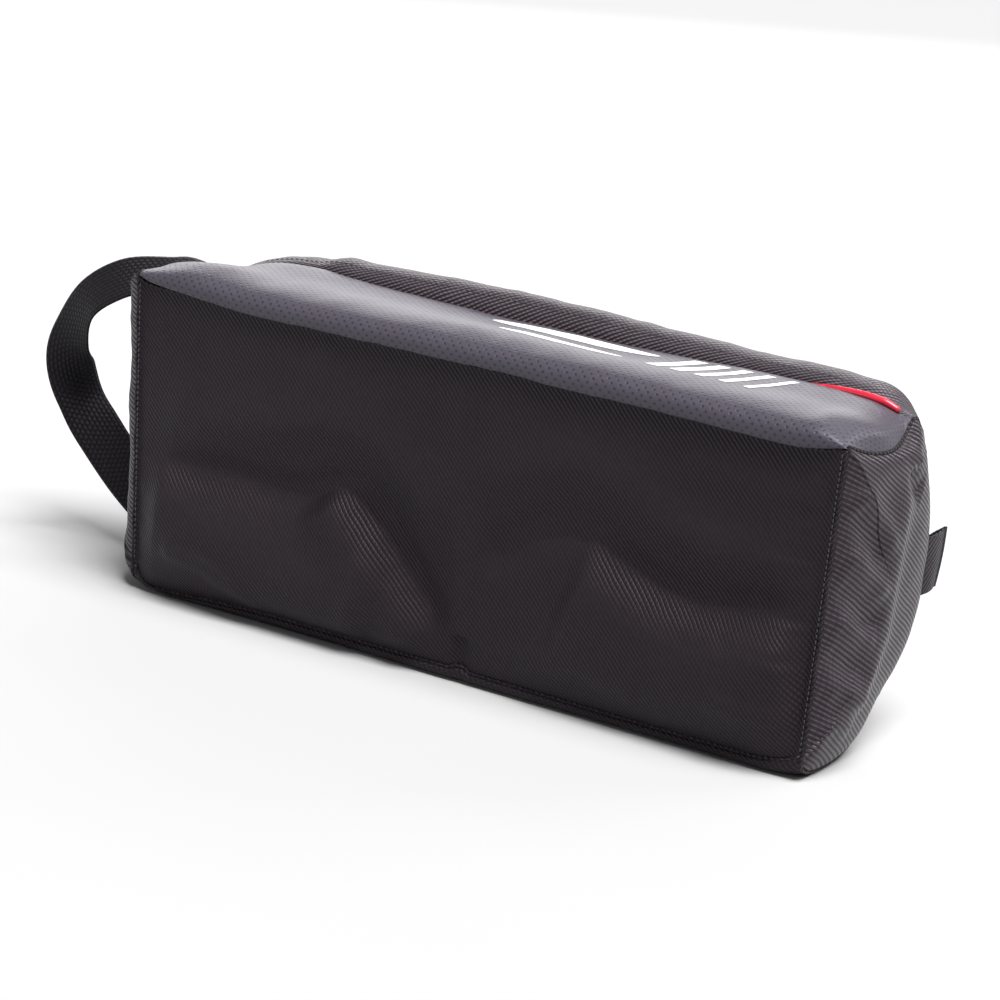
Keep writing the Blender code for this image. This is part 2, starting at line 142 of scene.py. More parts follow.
def front_controls(x):
    """Grey front wall, from the base's top seam to the piping."""
    b, c = top_seam_z(x), piping_z(x)
    middle = stack(
        (-0.0300, b), (-0.0340, b + 0.0012), (-0.0350, b + 0.0052), (-0.0332, b + 0.0092),
        (-0.0262, b + 0.0122), (-0.0120, b + 0.0134), (0.0080, 0.35 * (b + 0.0134) + 0.65 * (c + 0.0016)), (0.0272, c + 0.0016), (0.0306, c - 0.0014),
    )
    left = [(-0.0304, 0.1580), (-0.0314, 0.1590), (-0.0290, 0.1600), (-0.0220, 0.1590), (-0.0110, 0.1565),
            (0.0010, 0.1535), (0.0120, 0.1503), (0.0240, 0.1470), (0.0306, 0.1435)]
    right = [(-0.0304, 0.1560), (-0.0314, 0.1566), (-0.0290, 0.1568), (-0.0230, 0.1545), (-0.0130, 0.1513),
             (-0.0010, 0.1495), (0.0120, 0.1495), (0.0250, 0.1525), (0.0328, 0.1575)]
    return mixed(x, middle, left, right, 0.042, 0.020)


def roof_front_controls(x):
    """Roof, from the piping over the shoulder down to the zip."""
    c, p = piping_z(x), np.maximum(peak_z(x), piping_z(x) + 0.002)
    lift = p - c
    middle = stack(
        (0.0316, c - 0.0014), (0.0338, c + 0.42 * lift), (0.0390, c + 0.90 * lift), (0.0455, p), (0.0525, p - 0.0020),
        (0.0585, p - 0.0085), (0.0632, p - 0.0200), (0.0662, 0.1330), (0.0678, 0.1120), (0.0680, 0.0965), (0.0671, 0.0855),
    )
    left = [(0.0316, 0.1432), (0.0350, 0.1460), (0.0400, 0.1468), (0.0455, 0.1445), (0.0500, 0.1395), (0.0545, 0.1320),
            (0.0585, 0.1230), (0.0625, 0.1120), (0.0650, 0.1020), (0.0660, 0.0930), (0.0662, 0.0855)]
    right = [(0.0338, 0.1575), (0.0370, 0.1570), (0.0410, 0.1530), (0.0455, 0.1470), (0.0500, 0.1395), (0.0545, 0.1310),
             (0.0585, 0.1225), (0.0625, 0.1115), (0.0650, 0.1015), (0.0660, 0.0925), (0.0662, 0.0855)]
    return mixed(x, middle, left, right, 0.034, 0.024)


def roof_back_controls(x):
    """Roof, from the back wall's seam up to the zip."""
    middle = stack(
        *[(y, z + 0 * x) for y, z in (
            (0.0310, 0.0010), (0.0375, 0.0010), (0.0440, 0.0030), (0.0500, 0.0070), (0.0555, 0.0132), (0.0600, 0.0215),
            (0.0638, 0.0320), (0.0665, 0.0450), (0.0679, 0.0580), (0.0678, 0.0670), (0.0671, 0.0745))]
    )
    end = [(0.0300, 0.0175), (0.0340, 0.0205), (0.0390, 0.0245), (0.0445, 0.0280), (0.0495, 0.0325), (0.0545, 0.0380),
           (0.0590, 0.0445), (0.0625, 0.0520), (0.0650, 0.0600), (0.0660, 0.0680), (0.0662, 0.0745)]
    return mixed(x, middle, end, end, 0.034, 0.026)


def back_controls(x):
    """Back wall, the rest face, from the base's bottom seam round its roll to the roof."""
    a = bottom_seam_z(x)
    middle = stack(
        (-0.0306, a), (-0.0326, a * 0.72), (-0.0318, a * 0.26), (-0.0275, 0 * a + 0.0002), (-0.0150, 0 * a + 0.0002),
        (0.0020, 0 * a + 0.0002), (0.0160, 0 * a + 0.0002), (0.0250, 0 * a + 0.0004), (0.0310, 0 * a + 0.0010),
    )
    end = [(-0.0306, 0.0130), (-0.0322, 0.0095), (-0.0300, 0.0055), (-0.0240, 0.0025), (-0.0130, 0.0008),
           (0.0030, 0.0012), (0.0160, 0.0045), (0.0240, 0.0115), (0.0300, 0.0175)]
    return mixed(x, middle, end, end, 0.026, 0.024)


def lean(x, z, y=None):
    """The ends lean out a little towards the top, and swell where the grey wall turns down over them."""
    out = x * (0.986 + 0.029 * z / 0.158)
    if y is not None:
        w = np.clip((np.abs(x) - 0.165) / 0.025, 0, 1) ** 2 * np.sign(x)
        out = out + w * 0.0055 * np.exp(-(((y - 0.003) / 0.020) ** 2)) * np.exp(-(((z - 0.154) / 0.016) ** 2))
    return out


def fbm(p, scale, octaves=2):
    v, a = 0.0, 1.0
    for _ in range(octaves):
        v += a * noise.noise(Vector(p) * scale)
        scale *= 2.07
        a *= 0.5
    return v


def noise_field(P, scale, seed=0.0, octaves=2):
    s = np.array(scale, float)
    out = np.empty(P.shape[:-1])
    for k in np.ndindex(out.shape):
        p = P[k] * s
        out[k] = fbm((p[0] + seed, p[1] - seed, p[2] + 2 * seed), 1.0, octaves)
    return out


def grid_normals(P):
    du = np.gradient(P, axis=0)
    dv = np.gradient(P, axis=1)
    n = np.cross(du, dv)
    return n / np.maximum(np.linalg.norm(n, axis=-1, keepdims=True), 1e-12)


def arc_uv(P):
    """Coordinates in metres over a grid, along its second axis by arc length."""
    dv = np.linalg.norm(np.diff(P, axis=1), axis=-1)
    v = np.concatenate([np.zeros((P.shape[0], 1)), np.cumsum(dv, 1)], 1)
    mid = v[P.shape[0] // 2]
    du = np.linalg.norm(np.diff(P, axis=0), axis=-1)
    u = np.concatenate([np.zeros((1, P.shape[1])), np.cumsum(du, 0)], 0)
    u = u - u[P.shape[0] // 2][None] + P[P.shape[0] // 2, 0, 0]
    return np.stack([u, np.broadcast_to(mid, v.shape)], -1)


# ----------------------------------------------------------------- mesh helpers


def new_mesh(name, verts, faces, uvs=None, material=None, normals=None):
    me = bpy.data.meshes.new(name)
    me.from_pydata([tuple(v) for v in np.asarray(verts, float)], [], [list(map(int, f)) for f in faces])
    me.update()
    if uvs is not None:
        layer = me.uv_layers.new(name="fabric")
        idx = np.empty(len(me.loops), np.int32)
        me.loops.foreach_get("vertex_index", idx)
        layer.data.foreach_set("uv", np.asarray(uvs, np.float32)[idx].ravel())
    me.polygons.foreach_set("use_smooth", [True] * len(me.polygons))
    if normals is not None:
        me.normals_split_custom_set_from_vertices([tuple(n) for n in normals])
    ob = bpy.data.objects.new(name, me)
    bpy.context.scene.collection.objects.link(ob)
    if material:
        me.materials.append(material)
    return ob


def grid_faces(n, m, flip=False, offset=0, wrap=False):
    i, j = np.meshgrid(np.arange(n if wrap else n - 1), np.arange(m - 1), indexing="ij")
    a = i * m + j
    b = ((i + 1) % n) * m + j
    f = np.stack([a, b, b + 1, a + 1], -1).reshape(-1, 4) + offset
    return f[:, ::-1] if flip else f


def sheet_mesh(name, P, uv, material, thickness=LINING, normals=None, outward=None):
    """A sheet with an outer face, an inner face and closed rims."""
    n, m = P.shape[:2]
    N = grid_normals(P) if normals is None else normals
    flip = False
    if outward is not None and np.sum(N[n // 2, m // 2] * np.array(outward)) < 0:
        N = -N
        flip = True
    inner = P - N * thickness
    V = np.concatenate([P.reshape(-1, 3), inner.reshape(-1, 3)])
    UV = np.concatenate([uv.reshape(-1, 2)] * 2)
    NN = np.concatenate([N.reshape(-1, 3), -N.reshape(-1, 3)])
    k = n * m
    faces = [grid_faces(n, m, flip), grid_faces(n, m, not flip, k)]
    rim = []
    loop = (
        [i * m for i in range(n)]
        + [(n - 1) * m + j for j in range(1, m)]
        + [i * m + m - 1 for i in range(n - 2, -1, -1)]
        + [j for j in range(m - 2, 0, -1)]
    )
    for a, b in zip(loop, loop[1:] + loop[:1]):
        rim.append((a, a + k, b + k, b) if not flip else (b, b + k, a + k, a))
    faces.append(np.array(rim))
    return new_mesh(name, V, np.concatenate(faces), UV, material, NN)


def tube(name, path, radii, material, sides=10, closed=False, squash_dir=None, squash=1.0, caps=True, uv_scale=1.0):
    """A tube along a path, with a radius at each point; squash flattens it along squash_dir."""
    path = np.array(path, float)
    n = len(path)
    radii = np.broadcast_to(radii, n).astype(float)
    T = np.gradient(path, axis=0)
    if closed:
        T = np.roll(path, -1, 0) - np.roll(path, 1, 0)
    T /= np.maximum(np.linalg.norm(T, axis=1, keepdims=True), 1e-12)
    up = np.array([0, 0, 1.0]) if abs(T[0][2]) < 0.9 else np.array([0, 1.0, 0])
    V = []
    A = up - T[0] * (up @ T[0])
    A /= np.linalg.norm(A)
    for i in range(n):
        A = A - T[i] * (A @ T[i])
        A /= max(np.linalg.norm(A), 1e-9)
        B = np.cross(T[i], A)
        for k in range(sides):
            a = 2 * math.pi * k / sides
            o = (A * math.cos(a) + B * math.sin(a)) * radii[i]
            if squash_dir is not None:
                sd = np.array(squash_dir, float)
                o = o - sd * (o @ sd) * (1 - squash)
            V.append(path[i] + o)
    seg = np.concatenate([[0], np.cumsum(np.linalg.norm(np.diff(path, axis=0), axis=1))])
    UV = np.array([(seg[i] * uv_scale, k * 2 * math.pi / sides * radii[i]) for i in range(n) for k in range(sides)])
    F = []
    last = n if closed else n - 1
    for i in range(last):
        for k in range(sides):
            a, b = i * sides + k, i * sides + (k + 1) % sides
            c, d = ((i + 1) % n) * sides + (k + 1) % sides, ((i + 1) % n) * sides + k
            F.append((a, d, c, b))
    ob_faces = list(F)
    if caps and not closed:
        ob_faces.append(tuple(range(sides)))
        ob_faces.append(tuple(reversed(range((n - 1) * sides, n * sides))))
    me = bpy.data.meshes.new(name)
    me.from_pydata([tuple(v) for v in V], [], ob_faces)
    me.update()
    layer = me.uv_layers.new(name="fabric")
    idx = np.empty(len(me.loops), np.int32)
    me.loops.foreach_get("vertex_index", idx)
    layer.data.foreach_set("uv", UV.astype(np.float32)[idx].ravel())
    me.polygons.foreach_set("use_smooth", [True] * len(me.polygons))
    me.materials.append(material)
    ob = bpy.data.objects.new(name, me)
    bpy.context.scene.collection.objects.link(ob)
    return ob


def capsules(name, segments, radius, material, sides=6):
    """Many short rounded threads or teeth in one mesh: segments is a list of (start, end) or lists of points."""
    V, F = [], []
    for seg in segments:
        pts = [np.array(p, float) for p in seg]
        d = pts[-1] - pts[0]
        L = np.linalg.norm(d)
        if L < 1e-6:
            continue
        d = d / L
        rings = [(pts[0], 0.55)] + [(p * 1.0, 1.0) for p in ([pts[0] * 0.8 + pts[-1] * 0.2, pts[0] * 0.2 + pts[-1] * 0.8] if len(pts) == 2 else pts[1:-1])] + [(pts[-1], 0.55)]
        up = np.array([0, 0, 1.0]) if abs(d[2]) < 0.9 else np.array([0, 1.0, 0])
        A = up - d * (up @ d)
        A /= np.linalg.norm(A)
        B = np.cross(d, A)
        base = len(V)
        for c, r in rings:
            for k in range(sides):
                a = 2 * math.pi * k / sides
                V.append(c + (A * math.cos(a) + B * math.sin(a)) * radius * r)
        for i in range(len(rings) - 1):
            for k in range(sides):
                a, b = base + i * sides + k, base + i * sides + (k + 1) % sides
                F.append((a, a + sides, b + sides, b))
        F.append(tuple(base + k for k in range(sides)))
        F.append(tuple(base + (len(rings) - 1) * sides + k for k in reversed(range(sides))))
    me = bpy.data.meshes.new(name)
    me.from_pydata([tuple(v) for v in V], [], F)
    me.update()
    me.polygons.foreach_set("use_smooth", [True] * len(me.polygons))
    me.materials.append(material)
    ob = bpy.data.objects.new(name, me)
    bpy.context.scene.collection.objects.link(ob)
    return ob


def stitches_along(name, path, lift, material, pitch=0.0030, length=0.0021, radius=0.00030):
    """Topstitching: thread dashes along a path, each dipping into the cloth at its ends."""
    path = np.array(path, float)
    seg = np.concatenate([[0], np.cumsum(np.linalg.norm(np.diff(path, axis=0), axis=1))])
    lift = np.broadcast_to(np.array(lift, float), path.shape)

    def at(s):
        return np.array([np.interp(s, seg, path[:, k]) for k in range(3)])

    def up(s):
        v = np.array([np.interp(s, seg, lift[:, k]) for k in range(3)])
        return v / max(np.linalg.norm(v), 1e-9)

    out = []
    s = pitch * 0.5
    while s + length < seg[-1]:
        pts = []
        for f, h in ((0, -0.5), (0.15, 0.4), (0.5, 0.75), (0.85, 0.4), (1, -0.5)):
            q = s + length * f
            pts.append(at(q) + up(q) * radius * h)
        out.append(pts)
        s += pitch
    return capsules(name, out, radius, material, 6)


# ----------------------------------------------------------------- materials


class Nodes:
    """Shorthand for building one material's nodes."""

    def __init__(self, name):
        self.mat = bpy.data.materials.new(name)
        self.mat.use_nodes = True
        self.t = self.mat.node_tree
        self.bsdf = self.t.nodes["Principled BSDF"]

    def node(self, kind, **inputs):
        n = self.t.nodes.new(kind)
        for k, v in inputs.items():
            self.put(n.inputs[k.replace("_", " ")], v)
        return n

    def put(self, socket, v):
        if isinstance(v, bpy.types.NodeSocket):
            self.t.links.new(v, socket)
        else:
            socket.default_value = v

    def math(self, op, a, b=0.0, c=None, clamp=False):
        n = self.t.nodes.new("ShaderNodeMath")
        n.operation = op
        n.use_clamp = clamp
        self.put(n.inputs[0], a)
        self.put(n.inputs[1], b)
        if c is not None:
            self.put(n.inputs[2], c)
        return n.outputs[0]

    def uv(self):
        n = self.t.nodes.new("ShaderNodeUVMap")
        n.uv_map = "fabric"
        return n.outputs[0]

    def dot(self, v, d):
        n = self.t.nodes.new("ShaderNodeVectorMath")
        n.operation = "DOT_PRODUCT"
        self.put(n.inputs[0], v)
        n.inputs[1].default_value = d
        return n.outputs["Value"]

    def noise(self, v, scale, detail=2.0, rough=0.5):
        n = self.t.nodes.new("ShaderNodeTexNoise")
        self.put(n.inputs["Vector"], v)
        n.inputs["Scale"].default_value = scale
        n.inputs["Detail"].default_value = detail
        n.inputs["Roughness"].default_value = rough
        return n.outputs["Fac"]

    def obj(self):
        return self.t.nodes.new("ShaderNodeTexCoord").outputs["Object"]

    def ramp(self, fac, stops):
        n = self.t.nodes.new("ShaderNodeValToRGB")
        self.put(n.inputs[0], fac)
        e = n.color_ramp.elements
        while len(e) < len(stops):
            e.new(0.5)
        for k, (p, c) in enumerate(stops):
            e[k].position = p
            e[k].color = (*c, 1) if len(c) == 3 else c
        return n.outputs[0]

    def mix(self, fac, a, b):
        n = self.t.nodes.new("ShaderNodeMix")
        n.data_type = "RGBA"
        self.put(n.inputs["Factor"], fac)
        self.put(n.inputs[6], (*a, 1) if isinstance(a, tuple) and len(a) == 3 else a)
        self.put(n.inputs[7], (*b, 1) if isinstance(b, tuple) and len(b) == 3 else b)
        return n.outputs[2]

    def bump(self, height, strength, distance, normal=None):
        n = self.t.nodes.new("ShaderNodeBump")
        n.inputs["Strength"].default_value = strength
        n.inputs["Distance"].default_value = distance
        self.put(n.inputs["Height"], height)
        if normal is not None:
            self.put(n.inputs["Normal"], normal)
        return n.outputs[0]

    def finish(self, colour=None, rough=None, normal=None, metallic=0.0, specular=0.5, sheen=0.0, sheen_tint=(1, 1, 1), sheen_rough=0.5, coat=0.0, coat_rough=0.1, tint=(1, 1, 1)):
        b = self.bsdf
        if colour is not None:
            self.put(b.inputs["Base Color"], (*colour, 1) if isinstance(colour, tuple) and len(colour) == 3 else colour)
        if rough is not None:
            self.put(b.inputs["Roughness"], rough)
        if normal is not None:
            self.put(b.inputs["Normal"], normal)
        b.inputs["Metallic"].default_value = metallic
        b.inputs["Specular IOR Level"].default_value = specular
        b.inputs["Specular Tint"].default_value = (*tint, 1)
        b.inputs["Sheen Weight"].default_value = sheen
        b.inputs["Sheen Tint"].default_value = (*sheen_tint, 1)
        b.inputs["Sheen Roughness"].default_value = sheen_rough
        b.inputs["Coat Weight"].default_value = coat
        b.inputs["Coat Roughness"].default_value = coat_rough
        return self.mat


def twill(name, angle, pitch=0.0020, dark=(0.0050, 0.0037, 0.0047), light=(0.0245, 0.0186, 0.0242), rough=(0.56, 0.36), depth=0.00045, dash=0.0021, sheen=0.015, specular=0.24, sharp=3.2, dashing=0.45):
    """Black polyester twill: diagonal ribs built of short floats that catch the light, their tops painted lighter as
    painted glints and their furrows darker as painted shade.
    """
    k = Nodes(name)
    uv = k.uv()
    wobble = k.noise(uv, 55.0, 2.0)
    a = math.radians(angle)
    along, across = (math.cos(a), math.sin(a), 0), (-math.sin(a), math.cos(a), 0)
    t = k.math("ADD", k.math("DIVIDE", k.dot(uv, across), pitch), k.math("MULTIPLY", wobble, 0.9))
    s = k.math("DIVIDE", k.dot(uv, along), dash)
    row = k.math("FLOOR", t)
    frac = k.math("SUBTRACT", t, row)
    rib = k.math("SINE", k.math("MULTIPLY", frac, math.pi))  # 0 at a furrow, 1 on a rib
    s2 = k.math("ADD", k.math("ADD", s, k.math("MULTIPLY", row, 0.37)), k.math("MULTIPLY", frac, 0.55))
    fl = k.math("SUBTRACT", s2, k.math("FLOOR", s2))
    flt = k.math("SINE", k.math("MULTIPLY", fl, math.pi))
    flt = k.math("POWER", flt, 0.45)
    fine = k.noise(uv, 1600.0, 2.0, 0.6)
    h = k.math("MULTIPLY", k.math("POWER", rib, 0.8), k.math("ADD", k.math("MULTIPLY", flt, dashing), 1.0 - dashing))
    h2 = k.math("ADD", h, k.math("MULTIPLY", fine, 0.12))
    big = k.noise(uv, 18.0, 3.0)
    # painted glint and shade: the colour runs light on the rib tops and dark in the furrows, mottled at random by big
    painted_glint_and_mottle = k.math("MULTIPLY", k.math("POWER", h, sharp), k.math("ADD", k.math("MULTIPLY", big, 0.55), 0.62), clamp=True)
    colour = k.mix(painted_glint_and_mottle, dark, light)
    rg = k.math("ADD", k.math("MULTIPLY", k.math("POWER", h, 1.6), rough[1] - rough[0]), rough[0])
    normal = k.bump(h2, 0.85, depth)
    return k.finish(colour, rg, normal, specular=specular, sheen=sheen, sheen_tint=(0.85, 0.78, 0.86), sheen_rough=0.45, tint=(0.95, 0.80, 0.92))


def leather(name):
    """Grey satin synthetic leather with a fine grain and a grid of pin holes."""
    k = Nodes(name)
    uv = k.uv()
    sep = k.t.nodes.new("ShaderNodeSeparateXYZ")
    k.put(sep.inputs[0], uv)
    px, py = 0.0047, 0.0021
    v = k.math("DIVIDE", sep.outputs[1], py)
    row = k.math("FLOOR", v)
    odd = k.math("MODULO", k.math("ABSOLUTE", row), 2.0)
    u = k.math("ADD", k.math("DIVIDE", sep.outputs[0], px), k.math("MULTIPLY", odd, 0.5))
    fu = k.math("MULTIPLY", k.math("SUBTRACT", k.math("SUBTRACT", u, k.math("FLOOR", u)), 0.5), px)
    fv = k.math("MULTIPLY", k.math("SUBTRACT", k.math("SUBTRACT", v, row), 0.5), py)
    d = k.math("SQRT", k.math("ADD", k.math("MULTIPLY", k.math("MULTIPLY", fu, 0.8), k.math("MULTIPLY", fu, 0.8)), k.math("MULTIPLY", fv, fv)))
    hole = k.math("SUBTRACT", 1.0, k.math("DIVIDE", k.math("SUBTRACT", d, 0.00038), 0.00036), clamp=True)  # 1 in a hole
    grain = k.t.nodes.new("ShaderNodeTexVoronoi")
    grain.feature = "F1"
    k.put(grain.inputs["Vector"], uv)
    grain.inputs["Scale"].default_value = 1150.0
    mottled = k.noise(uv, 40.0, 3.0)
    fine = k.noise(uv, 900.0, 3.0, 0.6)
    h = k.math("SUBTRACT", k.math("ADD", k.math("MULTIPLY", grain.outputs["Distance"], 0.10), k.math("MULTIPLY", fine, 0.10)), k.math("MULTIPLY", hole, 0.45))
    base = k.mix(mottled, (0.037, 0.032, 0.044), (0.049, 0.042, 0.058))
    base = k.mix(k.math("MULTIPLY", fine, 0.35), base, (0.086, 0.078, 0.098))
    colour = k.mix(k.math("MULTIPLY", hole, 0.86), base, (0.014, 0.013, 0.016))
    rg = k.math("ADD", k.math("MULTIPLY", fine, 0.18), 0.36)
    return k.finish(colour, rg, k.bump(h, 0.8, 0.0004), specular=0.42, sheen=0.05, tint=(0.90, 0.86, 1.0))


def webbing(name):
    """Black polypropylene webbing: rows of small raised floats in a herring pattern."""
    k = Nodes(name)
    uv = k.uv()
    sep = k.t.nodes.new("ShaderNodeSeparateXYZ")
    k.put(sep.inputs[0], uv)
    u, v = sep.outputs[0], sep.outputs[1]
    cell = 0.0021
    t = k.math("DIVIDE", v, cell)
    row = k.math("FLOOR", t)
    ft = k.math("SINE", k.math("MULTIPLY", k.math("SUBTRACT", t, row), math.pi))
    s = k.math("ADD", k.math("DIVIDE", u, 0.0030), k.math("MULTIPLY", row, 0.5))
    fs = k.math("POWER", k.math("SINE", k.math("MULTIPLY", k.math("SUBTRACT", s, k.math("FLOOR", s)), math.pi)), 0.6)
    yarn = k.math("SINE", k.math("MULTIPLY", u, 2 * math.pi / 0.00055))
    fine = k.noise(uv, 1500.0, 2.0, 0.6)
    h = k.math("ADD", k.math("MULTIPLY", k.math("MULTIPLY", k.math("POWER", ft, 0.7), fs), 1.0), k.math("ADD", k.math("MULTIPLY", yarn, 0.06), k.math("MULTIPLY", fine, 0.10)))
    colour = k.mix(k.math("POWER", k.math("MULTIPLY", h, 0.9, clamp=True), 1.8), (0.0022, 0.0019, 0.0023), (0.017, 0.015, 0.018))
    rg = k.math("SUBTRACT", 0.62, k.math("MULTIPLY", h, 0.22))
    return k.finish(colour, rg, k.bump(h, 0.9, 0.0005), specular=0.16, sheen=0.015, sheen_tint=(0.85, 0.8, 0.86), tint=(0.95, 0.88, 0.96))


def cloth_plain(name, dark, light, rough=0.7, cell=0.0009, sheen=0.1, specular=0.35):
    """Plain woven tape or lining."""
    k = Nodes(name)
    uv = k.uv()
    sep = k.t.nodes.new("ShaderNodeSeparateXYZ")
    k.put(sep.inputs[0], uv)
    a = k.math("SINE", k.math("MULTIPLY", sep.outputs[0], math.pi / cell))
    b = k.math("SINE", k.math("MULTIPLY", sep.outputs[1], math.pi / cell))
    h = k.math("ADD", k.math("MULTIPLY", k.math("MULTIPLY", a, b), 0.5), 0.5)
    n = k.noise(uv, 60.0, 3.0)
    colour = k.mix(k.math("MULTIPLY", h, k.math("ADD", n, 0.4), clamp=True), dark, light)
    return k.finish(colour, rough, k.bump(h, 0.6, 0.00025), specular=specular, sheen=sheen)


def moulded(name, colour, colour2, rough, scale=700.0, bump=0.25, metallic=0.0, specular=0.5, coat=0.0):
    """Moulded, painted or plated surface with slight mottling and wear, by object coordinates."""
    k = Nodes(name)
    o = k.obj()
    n1 = k.noise(o, 90.0, 3.0)
    n2 = k.noise(o, scale, 3.0, 0.6)
    col = k.mix(k.math("ADD", k.math("MULTIPLY", n1, 0.6), k.math("MULTIPLY", n2, 0.4)), colour, colour2)
    rg = k.math("ADD", k.math("MULTIPLY", n2, 0.22), rough - 0.1)
    return k.finish(col, rg, k.bump(n2, bump, 0.0002), metallic=metallic, specular=specular, coat=coat)


def red_vinyl(name):
    k = Nodes(name)
    uv = k.uv()
    n1 = k.noise(uv, 60.0, 3.0)
    n2 = k.noise(uv, 900.0, 3.0, 0.6)
    col = k.mix(n1, (0.52, 0.008, 0.030), (0.66, 0.018, 0.050))
    rg = k.math("ADD", k.math("MULTIPLY", n2, 0.2), 0.24)
    return k.finish(col, rg, k.bump(n2, 0.3, 0.00018), specular=0.6, coat=0.25, coat_rough=0.2)


def print_white(name):
    k = Nodes(name)
    uv = k.uv()
    n1 = k.noise(uv, 80.0, 3.0)
    n2 = k.noise(uv, 1100.0, 3.0, 0.6)
    col = k.mix(n1, (0.84, 0.84, 0.86), (0.93, 0.93, 0.94))
    return k.finish(col, k.math("ADD", k.math("MULTIPLY", n2, 0.2), 0.35), k.bump(n2, 0.35, 0.00015), specular=0.5)


M_BASE = twill("twill_base", -45, 0.0019)
# lit copies of one black twill: the ends' rib colour is painted several times lighter than the base's, as painted light
# for the light these faces catch from the side
M_END = twill("twill_end", -34, 0.0021, dash=0.0026, light=(0.075, 0.063, 0.077), specular=0.42, rough=(0.55, 0.32), sharp=6.5, dashing=0.16)
M_END_L = twill("twill_end_left", 34, 0.0021, dash=0.0026, light=(0.075, 0.063, 0.077), specular=0.42, rough=(0.55, 0.32), sharp=6.5, dashing=0.16)
# painted light: the roof's copy of the twill is painted lighter still, for the light it catches from above
M_ROOF = twill("twill_roof", 34, 0.0021, light=(0.135, 0.116, 0.134), specular=0.5, sharp=4.5)
M_BACK = twill("twill_back", 45, 0.0021)
M_TAB = twill("twill_tab", 38, 0.0023, light=(0.026, 0.022, 0.028), specular=0.3, sharp=3.5)
M_WELT = twill("twill_welt", 40, 0.0019, light=(0.030, 0.026, 0.030))
M_GREY = leather("perforated_grey")
M_RED = red_vinyl("piping_red")
M_WEB = webbing("webbing_black")
M_TAPE = cloth_plain("zip_tape_black", (0.006, 0.006, 0.007), (0.030, 0.029, 0.032))
M_BIND = cloth_plain("binding_black", (0.006, 0.006, 0.007), (0.026, 0.025, 0.028), cell=0.0012)
M_THREAD = moulded("thread", (0.044, 0.040, 0.047), (0.082, 0.075, 0.086), 0.5, 2500.0, 0.5)
M_THREAD_DARK = moulded("thread_dark", (0.012, 0.011, 0.012), (0.030, 0.028, 0.031), 0.5, 2500.0, 0.5)
M_COIL = moulded("coil_black", (0.010, 0.010, 0.011), (0.022, 0.022, 0.024), 0.34, 900.0, 0.15)
M_METAL = moulded("zip_metal_dark", (0.085, 0.083, 0.088), (0.14, 0.137, 0.142), 0.33, 500.0, 0.12, metallic=1.0)
M_GRIP = moulded("grip_rubber", (0.012, 0.012, 0.013), (0.028, 0.027, 0.029), 0.5, 1400.0, 0.4)
M_BOARD = moulded("board_fibre", (0.018, 0.017, 0.018), (0.035, 0.033, 0.034), 0.85, 400.0, 0.5)
M_PRINT = print_white("print_white")

# ----------------------------------------------------------------- base panel


def polyline_field(X, Z, pts, above, below, taper=0.12):
    """Across a polyline: a bump of height 1 on it, falling off over `above` on its upper/right side and `below` on the other."""
    pts = np.array(pts, float)
    best = np.full(X.shape, 1e9)
    side = np.ones(X.shape)
    par = np.zeros(X.shape)
    seg = np.concatenate([[0], np.cumsum(np.linalg.norm(np.diff(pts, axis=0), axis=1))])
    for i in range(len(pts) - 1):
        a, b = pts[i], pts[i + 1]
        d = b - a
        L2 = d @ d
        t = np.clip(((X - a[0]) * d[0] + (Z - a[1]) * d[1]) / L2, 0, 1)
        qx, qz = X - a[0] - t * d[0], Z - a[1] - t * d[1]
        dist = np.hypot(qx, qz)
        s = np.sign(d[0] * qz - d[1] * qx)
        near = dist < best
        best = np.where(near, dist, best)
        side = np.where(near, s, side)
        par = np.where(near, (seg[i] + t * math.sqrt(L2)) / seg[-1], par)
    ends = np.clip(par / taper, 0, 1) * np.clip((1 - par) / taper, 0, 1)
    ends = ends * ends * (3 - 2 * ends)
    w = 0.5 * (above + below) + 0.5 * (above - below) * side * ends
    return np.exp(-((best / w) ** 2)) * (0.15 + 0.85 * ends)


# wrinkles of the base panel: line in (x, z) mm from its lower left corner, height mm, reach above and below mm
BASE_FOLDS = [
    ([(5, 66), (40, 66), (75, 67), (100, 67), (118, 73), (134, 75), (150, 62), (166, 46), (180, 28), (190, 10)], -1.5, 8, 10),
    ([(4, 40), (20, 38), (47, 31), (78, 22), (109, 15), (132, 10), (150, 6)], 3.9, 31, 30),
    ([(112, 70), (122, 60), (134, 46), (148, 30), (162, 15), (172, 2)], 2.3, 13, 16),
    ([(22, 22), (51, 19), (70, 11), (84, 1)], 1.0, 5, 5),
    ([(203, 50), (214, 66), (228, 78), (250, 87), (266, 84), (283, 74), (300, 68), (320, 66), (346, 70), (376, 74)], -1.6, 8, 10),
    ([(246, 56), (262, 50), (290, 40), (314, 33), (340, 35), (366, 44), (380, 48)], 3.5, 24, 32),
    ([(200, 84), (215, 102), (232, 110), (254, 113), (276, 108), (300, 96), (322, 90), (350, 92), (376, 94)], 1.3, 15, 10),
    ([(10, 92), (40, 90), (80, 96), (112, 104), (140, 104), (165, 84), (182, 60)], 1.3, 18, 10),
    ([(184, 140), (187, 99), (194, 52), (196, 3)], 0.7, 8, 8),
    ([(197, 20), (197, -8)], -1.5, 5, 5),
    ([(330, 24), (352, 20), (377, 24)], 0.9, 6, 6),
    ([(225, 12), (262, 20), (300, 14)], 0.9, 9, 7),
    ([(300, 130), (340, 122), (378, 128)], 0.6, 9, 8),
    ([(40, 122), (90, 128), (140, 124)], 0.5, 12, 10),
]


